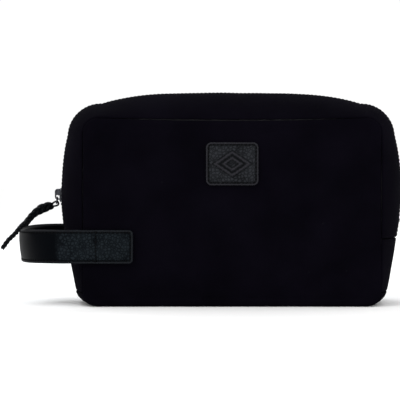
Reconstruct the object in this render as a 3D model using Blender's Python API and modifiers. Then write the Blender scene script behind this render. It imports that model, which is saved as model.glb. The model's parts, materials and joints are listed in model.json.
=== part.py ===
"""Shaving kit bag with a wrap-over zip, a leather side handle and a corded zip pull.

Frame: metres, +Z up, +X towards the right-hand end, -Y towards the front panel, and the
origin at the centre of the underside of the base.

The bag is two flat padded panels joined by a gusset. The gusset is described once, as a
surface over (s, t): s runs along the panel's seam from the middle of the top edge, positive
to the right, and t runs across the depth from -1 at the front seam to 1 at the rear seam.
Every strip, tape and lining of the gusset is a piece of that surface at some depth below it.
"""

import math

import bmesh
import bpy
import numpy as np
from mathutils import Matrix, Vector

# Panels and gusset
PANEL_WIDTH = 0.222
PANEL_HEIGHT = 0.140
BAG_DEPTH = 0.100
TOP_CORNER_R = 0.012
BASE_CORNER_R = 0.010
TOP_BULGE = 0.021
TOP_BULGE_PAST_SEAM = 0.014
SIDE_BULGE = 0.0196
SIDE_FOOT_BULGE = 0.005
SIDE_ARC_R = 0.176
WIDEST_BELOW_TOP = 0.054
CROSS_SEAM_Z = 0.050
BULGE_POWER = 2.2

# Layers
GAP = 0.0003
PANEL_CLOTH = 0.0015
FOAM = 0.003
LINING = 0.0008
LAYER_TRIM = 0.004
STRIP_CLOTH = 0.0012
TAPE = 0.0006
BOARD = 0.002
BINDING = 0.0016
BINDING_WIDTH = 0.0065

# Zip
STRIP_TO_CENTRE = 0.0075
STRIP_LINING_TO_CENTRE = 0.009
TAPE_HALF_WIDTH = 0.019
COIL_WIDTH = 0.0028
COIL_THICK = 0.0026
COIL_PROUD = -0.0002
COIL_SLOT = 0.0022
FOLD_GAP = 0.0005
STOP_LENGTH = 0.0022
STOP_PROUD = 0.0006
BOTTOM_STOP_Z = 0.0615
BOTTOM_STOP_LENGTH = 0.003

# Slider and pull
SLIDER_REST_Z = 0.083
SLIDER_LENGTH = 0.012
SLIDER_PLATE = 0.0014
SLIDER_FLANGE = 0.001
SLIDER_CLEAR = 0.0003
SLIDER_INNER_CLEAR = 0.0006
POST_LENGTH = 0.003
CROWN_LENGTH = 0.0084
CROWN_WIDTH = 0.003
CROWN_BAR = 0.001
CROWN_HEIGHT = 0.0027
RING_WIRE = 0.0011
RING_WIDTH = 0.0048
RING_LENGTH = 0.0048
RING_CORNER_R = 0.0012
LOOP_CORD = 0.0011

# Handle and patch
HANDLE_Z = 0.032
HANDLE_WIDTH = 0.025
HANDLE_SEWN_LENGTH = 0.028
HANDLE_FROM_EDGE = 0.0085
HANDLE_STRAIGHT_PAST_EDGE = 0.016
HANDLE_REACH = 0.0353
HANDLE_INNER_PLY = 0.0014
HANDLE_OUTER_PLY = 0.0016
PATCH_WIDTH = 0.039
PATCH_HEIGHT = 0.032
PATCH_THICK = 0.0016
PATCH_CORNER_R = 0.004
PATCH_CENTRE_Z = 0.106

# Inner pocket
POCKET_WIDTH = 0.150
POCKET_Z = 0.012
POCKET_HEIGHT = 0.073
POCKET_ROOM = 0.0068
POCKET_CLOTH = 0.001
POCKET_BINDING_HEIGHT = 0.008
POCKET_BINDING_THICK = 0.0024

# The cord's route from the middle of the ring's far bar, with its radius at each point
BRAID_ROUTE = (
    ((-0.0026, -0.0002, -0.0010), 0.0016),
    ((-0.0033, -0.0003, -0.0012), 0.0022),
    ((-0.0048, -0.0006, -0.0018), 0.0027),
    ((-0.0072, -0.0014, -0.0026), 0.0030),
    ((-0.0104, -0.0032, -0.0038), 0.0030),
    ((-0.0136, -0.0062, -0.0056), 0.0027),
    ((-0.0173, -0.0100, -0.0086), 0.0023),
    ((-0.0202, -0.0150, -0.0123), 0.0022),
    ((-0.0218, -0.0208, -0.0150), 0.0022),
    ((-0.0223, -0.0258, -0.0155), 0.0021),
)
TAIL_ROUTE = (
    ((-0.0225, -0.0266, -0.0156), 0.0019),
    ((-0.0231, -0.0303, -0.0160), 0.0018),
    ((-0.0248, -0.0351, -0.0180), 0.0017),
    ((-0.0272, -0.0386, -0.0212), 0.0016),
    ((-0.0298, -0.0405, -0.0240), 0.0016),
    ((-0.0327, -0.0418, -0.0268), 0.0016),
    ((-0.0352, -0.0425, -0.0303), 0.0016),
    ((-0.0374, -0.0429, -0.0336), 0.0015),
)

# Lengths along the seam, from the middle of the top edge down to the middle of the base
HALF_WIDTH = PANEL_WIDTH / 2
HALF_DEPTH = BAG_DEPTH / 2
TOP_RUN = HALF_WIDTH - TOP_CORNER_R
CORNER_RUN = TOP_CORNER_R * math.pi / 2
SIDE_RUN = PANEL_HEIGHT - TOP_CORNER_R - BASE_CORNER_R
FOOT_RUN = BASE_CORNER_R * math.pi / 2
BASE_RUN = HALF_WIDTH - BASE_CORNER_R
WIDEST_Z = PANEL_HEIGHT - WIDEST_BELOW_TOP

# Depths of the layers below the gusset's outer surface
TAPE_INSET = STRIP_CLOTH + GAP
STRIP_LINING_INSET = TAPE_INSET + TAPE + GAP
END_LINING_INSET = STRIP_CLOTH + GAP
BINDING_INSET = STRIP_CLOTH + GAP + BOARD + GAP + LINING + 2 * GAP
GUSSET_EDGE = HALF_DEPTH - PANEL_CLOTH - GAP
LINING_FACE = GUSSET_EDGE - FOAM - GAP - LINING
COIL_FAR = COIL_SLOT / 2 + COIL_WIDTH


def make_material(name, colour, roughness, metallic=0.0):
    material = bpy.data.materials.new(name)
    material.use_nodes = True
    shader = material.node_tree.nodes["Principled BSDF"]
    shader.inputs["Base Color"].default_value = (*colour, 1.0)
    shader.inputs["Roughness"].default_value = roughness
    shader.inputs["Metallic"].default_value = metallic
    return material


def cloth(name):
    return make_material(name, (0.012, 0.012, 0.016), 0.9)


def lining_cloth(name):
    return make_material(name, (0.03, 0.03, 0.034), 0.75)


def leather(name):
    return make_material(name, (0.022, 0.023, 0.024), 0.55)


def dark_metal(name):
    return make_material(name, (0.22, 0.22, 0.23), 0.35, 1.0)


def cord_fibre(name):
    return make_material(name, (0.008, 0.009, 0.010), 0.8)


def side_bulge(z):
    """How far the middle of the gusset stands out past the panel's side edge at height z."""
    if z >= CROSS_SEAM_Z:
        drop = SIDE_ARC_R - math.sqrt(SIDE_ARC_R**2 - (z - WIDEST_Z) ** 2)
        return SIDE_BULGE - drop
    at_seam = side_bulge(CROSS_SEAM_Z)
    return SIDE_FOOT_BULGE + (at_seam - SIDE_FOOT_BULGE) * (max(z, 0) / CROSS_SEAM_Z) ** 0.75


def top_bulge(distance):
    """How far the middle of the gusset stands up past the panel's top edge."""
    reach = HALF_WIDTH + TOP_BULGE_PAST_SEAM
    return TOP_BULGE * (1 - (distance / reach) ** 4)


def outline(s):
    """The seam's point at s and the gusset's bulge there, as (x, z) and (x, z)."""
    side = -1 if s < 0 else 1
    run = abs(s)
    if run <= TOP_RUN:
        return (side * run, PANEL_HEIGHT), (0.0, top_bulge(run))
    run -= TOP_RUN
    if run <= CORNER_RUN:
        turn = run / TOP_CORNER_R
        share = run / CORNER_RUN
        low = side_bulge(PANEL_HEIGHT - TOP_CORNER_R)
        bulge = top_bulge(TOP_RUN) * (1 - share) + low * share
        x = TOP_RUN + TOP_CORNER_R * math.sin(turn)
        z = PANEL_HEIGHT - TOP_CORNER_R * (1 - math.cos(turn))
        return (side * x, z), (side * bulge * math.sin(turn), bulge * math.cos(turn))
    run -= CORNER_RUN
    if run <= SIDE_RUN:
        z = PANEL_HEIGHT - TOP_CORNER_R - run
        return (side * HALF_WIDTH, z), (side * side_bulge(z), 0.0)
    run -= SIDE_RUN
    if run <= FOOT_RUN:
        turn = run / BASE_CORNER_R
        x = BASE_RUN + BASE_CORNER_R * math.cos(turn)
        z = BASE_CORNER_R * (1 - math.sin(turn))
        bulge = side_bulge(BASE_CORNER_R) * (1 - (run / FOOT_RUN) ** 2)
        return (side * x, z), (side * bulge, 0.0)
    run -= FOOT_RUN
    return (side * (BASE_RUN - run), 0.0), (0.0, 0.0)


def outer_surface(s, t):
    (x, z), (bulge_x, bulge_z) = outline(s)
    fullness = 1 - abs(t) ** BULGE_POWER
    return Vector((x + bulge_x * fullness, t * HALF_DEPTH, z + bulge_z * fullness))


def gusset_point(s, t, inset):
    """The point inset below the gusset's outer surface at (s, t)."""
    step = 0.0004
    along = outer_surface(s + step, t) - outer_surface(s - step, t)
    across = outer_surface(s, t + step) - outer_surface(s, t - step)
    return outer_surface(s, t) - along.cross(across).normalized() * inset


def run_at_height(z):
    """The length along the seam, from the top's middle, down to height z on a side."""
    return TOP_RUN + CORNER_RUN + PANEL_HEIGHT - TOP_CORNER_R - z


def add_object(name, data, material, collection, origin=(0.0, 0.0, 0.0)):
    """An object whose data is in world coordinates, with its origin moved to origin."""
    data.transform(Matrix.Translation(-Vector(origin)))
    item = bpy.data.objects.new(name, data)
    item.location = origin
    data.materials.append(material)
    collection.objects.link(item)
    return item


def add_mesh(name, shape, material, collection, origin=(0.0, 0.0, 0.0)):
    mesh = bpy.data.meshes.new(name)
    shape.to_mesh(mesh)
    shape.free()
    return add_object(name, mesh, material, collection, origin)


def thicken(item, thickness, offset=-1.0):
    wall = item.modifiers.new("wall", "SOLIDIFY")
    wall.thickness = thickness
    wall.offset = offset
    return item


def grid_surface(columns, rows, place):
    """An open sheet of columns by rows points, each put where place(column, row) says."""
    shape = bmesh.new()
    across = len(columns) - 1
    up = len(rows) - 1
    bmesh.ops.create_grid(shape, x_segments=across, y_segments=up, size=1.0)
    for vertex in shape.verts:
        column = columns[round((vertex.co.x + 1) / 2 * across)]
        row = rows[round((vertex.co.y + 1) / 2 * up)]
        vertex.co = place(column, row)
    return shape


def gusset_sheet(name, stations, rows, inset, thickness, material, origin=(0.0, 0.0, 0.0)):
    """A piece of the gusset between two lines across it, one layer thick."""
    shape = grid_surface(stations, rows, lambda s, t: gusset_point(s, t, inset))
    return thicken(add_mesh(name, shape, material, bag, origin), thickness)


def rows_between(near, far, count):
    """Values of t from one distance from the centre plane to another."""
    return np.linspace(near / HALF_DEPTH, far / HALF_DEPTH, count)


def plate(name, low, high, corner_r, material, segments=4):
    """A flat plate in the XZ plane with its four corners rounded."""
    shape = bmesh.new()
    bmesh.ops.create_cube(shape, size=1.0)
    size = Vector(high) - Vector(low)
    centre = (Vector(high) + Vector(low)) / 2
    bmesh.ops.scale(shape, vec=size, verts=shape.verts)
    bmesh.ops.translate(shape, vec=centre, verts=shape.verts)
    if corner_r:
        along_y = [
            e for e in shape.edges if abs((e.verts[0].co - e.verts[1].co).normalized().y) > 0.9
        ]
        bmesh.ops.bevel(
            shape, geom=along_y, offset=corner_r, segments=segments, profile=0.5, affect="EDGES"
        )
    return add_mesh(name, shape, material, bag)


def box(low, high):
    shape = bmesh.new()
    bmesh.ops.create_cube(shape, size=1.0)
    bmesh.ops.scale(shape, vec=Vector(high) - Vector(low), verts=shape.verts)
    bmesh.ops.translate(shape, vec=(Vector(high) + Vector(low)) / 2, verts=shape.verts)
    return shape


def tube(name, points, radii, material, origin, closed=False):
    """A round cord or wire along points, as a curve with a bevel and filled caps."""
    curve = bpy.data.curves.new(name, "CURVE")
    curve.dimensions = "3D"
    curve.bevel_depth = 1.0
    curve.bevel_resolution = 2
    curve.use_fill_caps = True
    spline = curve.splines.new("POLY")
    spline.points.add(len(points) - 1)
    for knot, point, radius in zip(spline.points, points, radii, strict=True):
        knot.co = (*point, 1.0)
        knot.radius = radius
    spline.use_cyclic_u = closed
    return add_object(name, curve, material, bag, origin)


def hold(child, parent):
    """Parents child where it is."""
    bpy.context.view_layer.update()
    child.parent = parent
    child.matrix_parent_inverse = parent.matrix_world.inverted()


def axis_empty(name, place):
    empty = bpy.data.objects.new(name, None)
    empty.empty_display_size = 0.01
    empty.location = place
    bag.objects.link(empty)
    return empty


def make_panels():
    """Each padded face of the bag: outer cloth, foam and lining."""
    for name, side in (("front", -1), ("back", 1)):
        layers = (
            ("panel", HALF_DEPTH - PANEL_CLOTH, HALF_DEPTH, 0.0, cloth),
            ("foam", GUSSET_EDGE - FOAM, GUSSET_EDGE, LAYER_TRIM, lining_cloth),
            ("lining", LINING_FACE, LINING_FACE + LINING, LAYER_TRIM, lining_cloth),
        )
        for layer, near, far, trim, finish in layers:
            faces = sorted((side * near, side * far))
            low = (trim - HALF_WIDTH, faces[0], max(trim, GAP))
            high = (HALF_WIDTH - trim, faces[1], PANEL_HEIGHT - trim)
            corner_r = min(TOP_CORNER_R, BASE_CORNER_R) - trim / 2
            node = f"{name}_{layer}"
            plate(node, low, high, corner_r, finish(node))


def make_base():
    """The bottom of the gusset, with its stiffening board and lining."""
    rest = TOP_RUN + CORNER_RUN + SIDE_RUN
    turn = np.linspace(rest + 3 * GAP, rest + FOOT_RUN, 5)
    whole = 2 * (rest + FOOT_RUN + BASE_RUN)
    stations = np.concatenate([turn, whole - turn[::-1]])
    rows = rows_between(-GUSSET_EDGE, GUSSET_EDGE, 9)
    shape = grid_surface(
        stations, rows, lambda s, t: gusset_point(s if s < whole / 2 else s - whole, t, 0.0)
    )
    thicken(add_mesh("base_panel", shape, cloth("base_panel"), bag), STRIP_CLOTH)
    half_x = BASE_RUN
    half_y = LINING_FACE - 2 * GAP
    board_z = STRIP_CLOTH + GAP
    lining_z = board_z + BOARD + GAP
    board = box((-half_x, -half_y, board_z), (half_x, half_y, board_z + BOARD))
    add_mesh("base_board", board, make_material("base_board", (0.25, 0.2, 0.15), 0.9), bag)
    sheet = box((-half_x, -half_y, lining_z), (half_x, half_y, lining_z + LINING))
    add_mesh("base_lining", sheet, lining_cloth("base_lining"), bag)


def make_ends():
    """The gusset's plain lower ends, from the base up to the seam below the zip."""
    runs = (run_at_height(CROSS_SEAM_Z - GAP), run_at_height(BASE_CORNER_R))
    rows = rows_between(-GUSSET_EDGE, GUSSET_EDGE, 9)
    for name, side in (("left", -1), ("right", 1)):
        stations = np.sort(side * np.linspace(*runs, 5))
        for layer, inset, thickness, finish in (
            ("panel", 0.0, STRIP_CLOTH, cloth),
            ("lining", END_LINING_INSET, LINING, lining_cloth),
        ):
            node = f"{name}_end_{layer}"
            gusset_sheet(node, stations, rows, inset, thickness, finish(node))


def zip_stations(part, lowest=CROSS_SEAM_Z + GAP):
    """The values of s along one run of the zip. The side runs take in the top corners."""
    if part == "top":
        return np.linspace(FOLD_GAP / 2 - TOP_RUN, TOP_RUN - FOLD_GAP / 2, 13)
    corner = np.linspace(TOP_RUN + FOLD_GAP / 2, TOP_RUN + CORNER_RUN, 5)
    straight = np.linspace(TOP_RUN + CORNER_RUN, run_at_height(lowest), 7)
    run = np.concatenate([corner, straight[1:]])
    return np.sort(-run) if part == "left" else run


def make_zip_runs():
    """The cloth strips, their linings, the zip's tapes and its two rows of coil."""
    lowest_coil = {
        "left": STOP_TOP_Z + GAP,
        "top": 0.0,
        "right": BOTTOM_STOP_Z + BOTTOM_STOP_LENGTH + GAP,
    }
    layers = (
        ("zip_strip", GUSSET_EDGE, STRIP_TO_CENTRE, 9, 0.0, STRIP_CLOTH, cloth),
        (
            "strip_lining",
            GUSSET_EDGE,
            STRIP_LINING_TO_CENTRE,
            5,
            STRIP_LINING_INSET,
            LINING,
            lining_cloth,
        ),
        ("zip_tape", TAPE_HALF_WIDTH, COIL_FAR + GAP, 5, TAPE_INSET, TAPE, cloth),
        ("zip_coil", COIL_FAR, COIL_SLOT / 2, 2, -COIL_PROUD, COIL_THICK, cloth),
    )
    for name, side in (("front", -1), ("rear", 1)):
        for layer, far, near, count, inset, thickness, finish in layers:
            rows = np.sort(side * rows_between(near, far, count))
            for part in ("left", "top", "right"):
                node = f"{name}_{layer}_{part}"
                lowest = lowest_coil[part] if layer == "zip_coil" else CROSS_SEAM_Z + GAP
                stations = zip_stations(part, lowest)
                hinge = FLAP_AXES[name] if part == "top" else (0.0, 0.0, 0.0)
                gusset_sheet(node, stations, rows, inset, thickness, finish(node), hinge)


def make_stops():
    """Two top stops under the slider and one bottom stop across both rows of coil."""
    thickness = COIL_THICK + 2 * STOP_PROUD
    left = -np.array([run_at_height(STOP_TOP_Z - STOP_LENGTH), run_at_height(STOP_TOP_Z)])
    for name, side in (("front", -1), ("rear", 1)):
        rows = np.sort(side * rows_between(COIL_SLOT / 2, COIL_FAR, 2))
        node = f"{name}_top_stop"
        gusset_sheet(node, left, rows, -STOP_PROUD, thickness, dark_metal(node))
    right = np.array(
        [run_at_height(BOTTOM_STOP_Z + BOTTOM_STOP_LENGTH), run_at_height(BOTTOM_STOP_Z)]
    )
    rows = rows_between(-COIL_FAR, COIL_FAR, 2)
    metal = dark_metal("bottom_stop")
    gusset_sheet("bottom_stop", right, rows, -STOP_PROUD, thickness, metal)


def make_zip_tabs():
    """The cloth tabs that cover the tapes' ends, from the cross seams up to the stops."""
    half_y = STRIP_TO_CENTRE - GAP
    tops = {"left": STOP_TOP_Z - STOP_LENGTH - GAP, "right": BOTTOM_STOP_Z - GAP}
    for name, side in (("left", -1), ("right", 1)):
        runs = np.linspace(run_at_height(tops[name]), run_at_height(CROSS_SEAM_Z + GAP), 4)
        rows = rows_between(-half_y, half_y, 3)
        node = f"{name}_zip_tab"
        gusset_sheet(node, np.sort(side * runs), rows, 0.0, STRIP_CLOTH, cloth(node))


def make_bindings():
    """The tapes that bind the raw edges of the front and rear seams, inside the bag."""
    half = TOP_RUN + CORNER_RUN + SIDE_RUN + FOOT_RUN + BASE_RUN
    stretches = (
        np.linspace(0, TOP_RUN, 6),
        np.linspace(TOP_RUN, TOP_RUN + CORNER_RUN, 5)[1:],
        np.linspace(TOP_RUN + CORNER_RUN, TOP_RUN + CORNER_RUN + SIDE_RUN, 7)[1:],
        np.linspace(half - BASE_RUN - FOOT_RUN, half - BASE_RUN, 5)[1:],
        np.array([half - GAP / 2]),
    )
    right = np.concatenate(stretches)
    stations = np.concatenate([-right[:0:-1], right])
    far = LINING_FACE - 2 * GAP
    for name, side in (("front", -1), ("rear", 1)):
        rows = np.sort(side * rows_between(far - BINDING_WIDTH, far, 2))
        node = f"{name}_seam_binding"
        gusset_sheet(node, stations, rows, BINDING_INSET, BINDING, lining_cloth(node))


def make_pocket():
    """An open-topped slip pocket on the back lining, with a bound top edge."""
    back = LINING_FACE - GAP
    front = back - POCKET_ROOM
    half = POCKET_WIDTH / 2
    corners = ((-half, back), (-half, front), (half, front), (half, back))
    heights = (POCKET_Z, POCKET_Z + POCKET_HEIGHT)
    shape = grid_surface(corners, heights, lambda c, z: Vector((c[0], c[1], z)))
    low = [v for v in shape.verts if abs(v.co.z - POCKET_Z) < GAP]
    shape.faces.new(sorted(low, key=lambda v: corners.index(nearest_corner(v, corners))))
    bmesh.ops.recalc_face_normals(shape, faces=shape.faces)
    pocket = add_mesh("slip_pocket", shape, lining_cloth("slip_pocket"), bag)
    thicken(pocket, POCKET_CLOTH)
    top = POCKET_Z + POCKET_HEIGHT + GAP
    middle = front + POCKET_CLOTH / 2
    edge = box(
        (-half, middle - POCKET_BINDING_THICK / 2, top),
        (half, middle + POCKET_BINDING_THICK / 2, top + POCKET_BINDING_HEIGHT),
    )
    add_mesh("pocket_binding", edge, lining_cloth("pocket_binding"), bag)


def nearest_corner(vertex, corners):
    return min(corners, key=lambda c: (vertex.co.x - c[0]) ** 2 + (vertex.co.y - c[1]) ** 2)


def handle_plan(outward):
    """The handle's line seen from above, outward from its inner face: front, round, back."""
    edge_x = -HALF_WIDTH
    bend_x = edge_x - HANDLE_STRAIGHT_PAST_EDGE
    end_x = edge_x + HANDLE_FROM_EDGE + HANDLE_SEWN_LENGTH
    half_y = HALF_DEPTH + GAP + outward
    reach = HANDLE_REACH + outward
    points = [(end_x, -half_y), (edge_x + HANDLE_FROM_EDGE, -half_y), (edge_x, -half_y)]
    for turn in np.linspace(0, math.pi, 25):
        x = bend_x - reach * math.sin(turn)
        points.append((x, -half_y * math.cos(turn)))
    points += [(edge_x, half_y), (edge_x + HANDLE_FROM_EDGE, half_y), (end_x, half_y)]
    return points


def make_handle():
    """A looped strap of two leather plies, its ends sewn to the front and back panels."""
    heights = (HANDLE_Z, HANDLE_Z + HANDLE_WIDTH)
    plies = (
        ("handle_inner", 0.0, HANDLE_INNER_PLY),
        ("handle_outer", HANDLE_INNER_PLY + GAP, HANDLE_OUTER_PLY),
    )
    for node, outward, thickness in plies:
        line = handle_plan(outward)
        shape = grid_surface(
            line, heights[::-1], lambda point, z: Vector((point[0], point[1], z))
        )
        ply = add_mesh(node, shape, leather(node), bag)
        thicken(ply, thickness, 1.0)


def make_patch():
    face = -HALF_DEPTH - GAP
    low = (-PATCH_WIDTH / 2, face - PATCH_THICK, PATCH_CENTRE_Z - PATCH_HEIGHT / 2)
    high = (PATCH_WIDTH / 2, face, PATCH_CENTRE_Z + PATCH_HEIGHT / 2)
    plate("leather_patch", low, high, PATCH_CORNER_R, leather("leather_patch"))


def make_cutter(name, shape, place, turn):
    mesh = bpy.data.meshes.new(name)
    shape.to_mesh(mesh)
    shape.free()
    cutter = bpy.data.objects.new(name, mesh)
    cutter.location = place
    cutter.rotation_euler.y = turn
    cutter.hide_render = True
    cutter.display_type = "WIRE"
    cutters.objects.link(cutter)
    return cutter


def pair_of_boxes(low, high):
    """A box and its mirror image across the plane Y = 0."""
    shape = box(low, high)
    copy = bmesh.ops.duplicate(shape, geom=shape.verts[:] + shape.edges[:] + shape.faces[:])
    moved = [g for g in copy["geom"] if isinstance(g, bmesh.types.BMVert)]
    bmesh.ops.translate(shape, vec=(0, -(low[1] + high[1]), 0), verts=moved)
    return shape


def make_slider():
    """A slider of two plates joined by a post, which straddles the two rows of coil.

    Its own frame has -X out of the bag, +Z along the zip and X = 0 at the outer surface."""
    channel_out = -COIL_PROUD - SLIDER_CLEAR
    channel_in = -COIL_PROUD + COIL_THICK + SLIDER_INNER_CLEAR
    channel_y = COIL_FAR + SLIDER_CLEAR
    half_y = channel_y + SLIDER_FLANGE
    half_z = SLIDER_LENGTH / 2
    gusset_fall = SIDE_BULGE * (half_y / HALF_DEPTH) ** BULGE_POWER
    out = channel_out - SLIDER_PLATE
    body = add_mesh(
        "slider_body",
        box((out, -half_y, -half_z), (channel_in + SLIDER_PLATE, half_y, half_z)),
        dark_metal("slider_body"),
        bag,
    )
    body.location = SLIDER_PLACE
    body.rotation_euler.y = SLIDER_TURN
    past = 0.001
    post_end = POST_LENGTH - half_z
    post_y = COIL_SLOT / 2 - SLIDER_CLEAR
    slot_out = TAPE_INSET - SLIDER_CLEAR
    slot_in = TAPE_INSET + TAPE + SLIDER_CLEAR + gusset_fall
    shapes = {
        "slider_channel_cutter": box(
            (channel_out, -channel_y, post_end), (channel_in, channel_y, half_z + past)
        ),
        "slider_throat_cutter": pair_of_boxes(
            (channel_out, post_y, -half_z - past), (channel_in, channel_y, post_end + past)
        ),
        "slider_slot_cutter": pair_of_boxes(
            (slot_out, channel_y - past, -half_z - past), (slot_in, half_y + past, half_z + past)
        ),
    }
    for name, shape in shapes.items():
        cut = body.modifiers.new(name, "BOOLEAN")
        cut.operation = "DIFFERENCE"
        cut.solver = "EXACT"
        cut.object = make_cutter(name, shape, SLIDER_PLACE, SLIDER_TURN)
    crown = make_crown(out)
    for piece in (body, crown):
        hold(piece, slider_axis)


def make_crown(plate_face):
    """The arched bar on the slider that the pull ring hangs from."""
    foot = plate_face - GAP
    top = plate_face - CROWN_HEIGHT
    half = CROWN_LENGTH / 2 - CROWN_BAR
    shoulder = CROWN_BAR / 2
    line = (
        (foot, -half),
        (top + shoulder, -half),
        (top, shoulder - half),
        (top, half - shoulder),
        (top + shoulder, half),
        (foot, half),
    )
    rows = (-CROWN_WIDTH / 2, CROWN_WIDTH / 2)
    shape = grid_surface(line, rows, lambda point, y: Vector((point[0], y, point[1])))
    crown = add_mesh("slider_crown", shape, dark_metal("slider_crown"), bag)
    crown.location = SLIDER_PLACE
    crown.rotation_euler.y = SLIDER_TURN
    bar = thicken(crown, CROWN_BAR, 1.0)
    bar.modifiers["wall"].use_even_offset = True
    return crown


def rounded_loop(half_width, near, far, corner_r, steps):
    """Points round a rounded rectangle in (across, along), once round."""
    points = []
    for corner in range(4):
        across = (half_width - corner_r) * (1 if corner in (0, 3) else -1)
        along = (far - corner_r) if corner in (0, 1) else (near + corner_r)
        for step in range(steps + 1):
            turn = (corner + step / steps) * math.pi / 2
            points.append((across + corner_r * math.cos(turn), along + corner_r * math.sin(turn)))
    return points


def make_pull():
    """The ring on the crown, the cord's loop through it, the braid and the loose tail."""
    down = RING_PLACE_TO_FAR.normalized()
    ring_line = [
        Vector(RING_AXIS_PLACE) + Vector((0, across, 0)) + down * along
        for across, along in rounded_loop(
            RING_WIDTH / 2, 0.0, RING_LENGTH, RING_CORNER_R, 3
        )
    ]
    ring = tube(
        "pull_ring",
        ring_line,
        [RING_WIRE / 2] * len(ring_line),
        dark_metal("pull_ring"),
        RING_AXIS_PLACE,
        closed=True,
    )
    hold(ring, slider_axis)
    far_bar = Vector(CORD_AXIS_PLACE)
    wrap = RING_WIRE / 2 + LOOP_CORD / 2 + GAP
    head = Vector(BRAID_ROUTE[0][0])
    toward = Vector((head.x, 0, head.z)).normalized()
    side = Vector((-toward.z, 0, toward.x))
    reach = math.hypot(head.x, head.z) - LOOP_CORD / 2 - GAP
    loop_line = [
        far_bar + side * across + toward * along
        for across, along in rounded_loop(wrap + LOOP_CORD / 4, -wrap, reach, wrap * 0.8, 4)
    ]
    loop = tube(
        "cord_loop",
        loop_line,
        [LOOP_CORD / 2] * len(loop_line),
        cord_fibre("cord_loop"),
        CORD_AXIS_PLACE,
        closed=True,
    )
    hold(loop, ring)
    for node, route in (("cord_braid", BRAID_ROUTE), ("cord_tail", TAIL_ROUTE)):
        line = [far_bar + Vector(point) for point, _ in route]
        radii = [radius for _, radius in route]
        cord = tube(node, line, radii, cord_fibre(node), CORD_AXIS_PLACE)
        hold(cord, loop)


for old in list(bpy.data.objects):
    bpy.data.objects.remove(old, do_unlink=True)

bag = bpy.data.collections.new("shaving_kit_bag")
cutters = bpy.data.collections.new("cutters")
bpy.context.scene.collection.children.link(bag)
bpy.context.scene.collection.children.link(cutters)

# Joint axes and the slider's place, all from the gusset
FLAP_AXES = {
    "front": (0.0, -HALF_DEPTH, PANEL_HEIGHT),
    "rear": (0.0, HALF_DEPTH, PANEL_HEIGHT),
}
SLIDER_AXIS_PLACE = (SIDE_ARC_R - HALF_WIDTH - SIDE_BULGE, 0.0, WIDEST_Z)
SLIDER_TURN = math.asin((SLIDER_REST_Z - WIDEST_Z) / SIDE_ARC_R)
OUT = Vector((-math.cos(SLIDER_TURN), 0.0, math.sin(SLIDER_TURN)))
UP = Vector((math.sin(SLIDER_TURN), 0.0, math.cos(SLIDER_TURN)))
SLIDER_PLACE = Vector(SLIDER_AXIS_PLACE) + OUT * SIDE_ARC_R
STOP_TOP_Z = SLIDER_REST_Z - SLIDER_LENGTH / 2 - 2 * GAP
CROWN_HOLE = SLIDER_PLATE + COIL_PROUD + SLIDER_CLEAR + CROWN_HEIGHT
RING_ROOM = RING_WIRE / 2 + 1.2 * GAP
RING_AXIS_PLACE = (
    SLIDER_PLACE + OUT * (CROWN_HOLE - RING_ROOM) - UP * (CROWN_LENGTH / 2 - CROWN_BAR - RING_ROOM)
)
LOOP_ROOM = RING_WIRE / 2 + GAP + LOOP_CORD + 2 * GAP
RING_LEAN = math.asin(
    (SLIDER_PLATE + COIL_PROUD + SLIDER_CLEAR + LOOP_ROOM - CROWN_HOLE + RING_ROOM) / RING_LENGTH
)
RING_PLACE_TO_FAR = (OUT * math.sin(RING_LEAN) - UP * math.cos(RING_LEAN)) * RING_LENGTH
CORD_AXIS_PLACE = RING_AXIS_PLACE + RING_PLACE_TO_FAR
slider_axis = axis_empty("slider_axis", SLIDER_AXIS_PLACE)

make_panels()
make_base()
make_ends()
make_zip_runs()
make_stops()
make_zip_tabs()
make_bindings()
make_pocket()
make_handle()
make_patch()
make_slider()
make_pull()
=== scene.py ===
import json
import math

import bmesh
import bpy
import numpy as np
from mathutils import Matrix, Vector, noise


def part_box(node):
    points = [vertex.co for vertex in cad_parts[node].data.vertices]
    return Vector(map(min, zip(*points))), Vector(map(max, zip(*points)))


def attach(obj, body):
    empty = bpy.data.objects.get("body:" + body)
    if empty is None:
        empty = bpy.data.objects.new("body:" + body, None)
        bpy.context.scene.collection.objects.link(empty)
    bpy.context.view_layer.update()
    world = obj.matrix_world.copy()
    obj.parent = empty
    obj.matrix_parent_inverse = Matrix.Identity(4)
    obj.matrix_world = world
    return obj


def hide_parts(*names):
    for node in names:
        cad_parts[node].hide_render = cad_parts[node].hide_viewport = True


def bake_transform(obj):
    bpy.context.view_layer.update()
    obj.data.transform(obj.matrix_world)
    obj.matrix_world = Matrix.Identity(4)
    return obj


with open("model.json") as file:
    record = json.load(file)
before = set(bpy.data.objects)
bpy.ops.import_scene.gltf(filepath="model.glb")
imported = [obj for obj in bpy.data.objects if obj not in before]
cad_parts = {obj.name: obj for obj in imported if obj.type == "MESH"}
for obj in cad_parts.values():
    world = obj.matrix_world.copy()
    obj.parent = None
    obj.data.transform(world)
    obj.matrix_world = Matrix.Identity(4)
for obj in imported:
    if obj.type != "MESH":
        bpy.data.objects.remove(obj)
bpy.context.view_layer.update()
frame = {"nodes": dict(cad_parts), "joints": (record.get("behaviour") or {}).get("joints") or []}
scene = bpy.context.scene
joints = {joint["name"]: joint for joint in frame["joints"]}

# --- Studio ----------------------------------------------------------------------------
# A long lens stands level with the bag, a little over a metre in front of its front panel.
# The bag stands on a pale floor under a white sky and three large soft lights.
panel_low, panel_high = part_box("front_panel")
VIEW_DISTANCE = 1.30
VIEW_ASIDE = -0.0239
VIEW_HEIGHT = 0.097
VIEW_TILT = math.radians(0.785)
VIEW_LENS = 157.5
SKY_STRENGTH = 1.03
LIGHTS_AIM = Vector((0, 0, 0.07))
FLOOR_DROP = 0.0004

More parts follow.
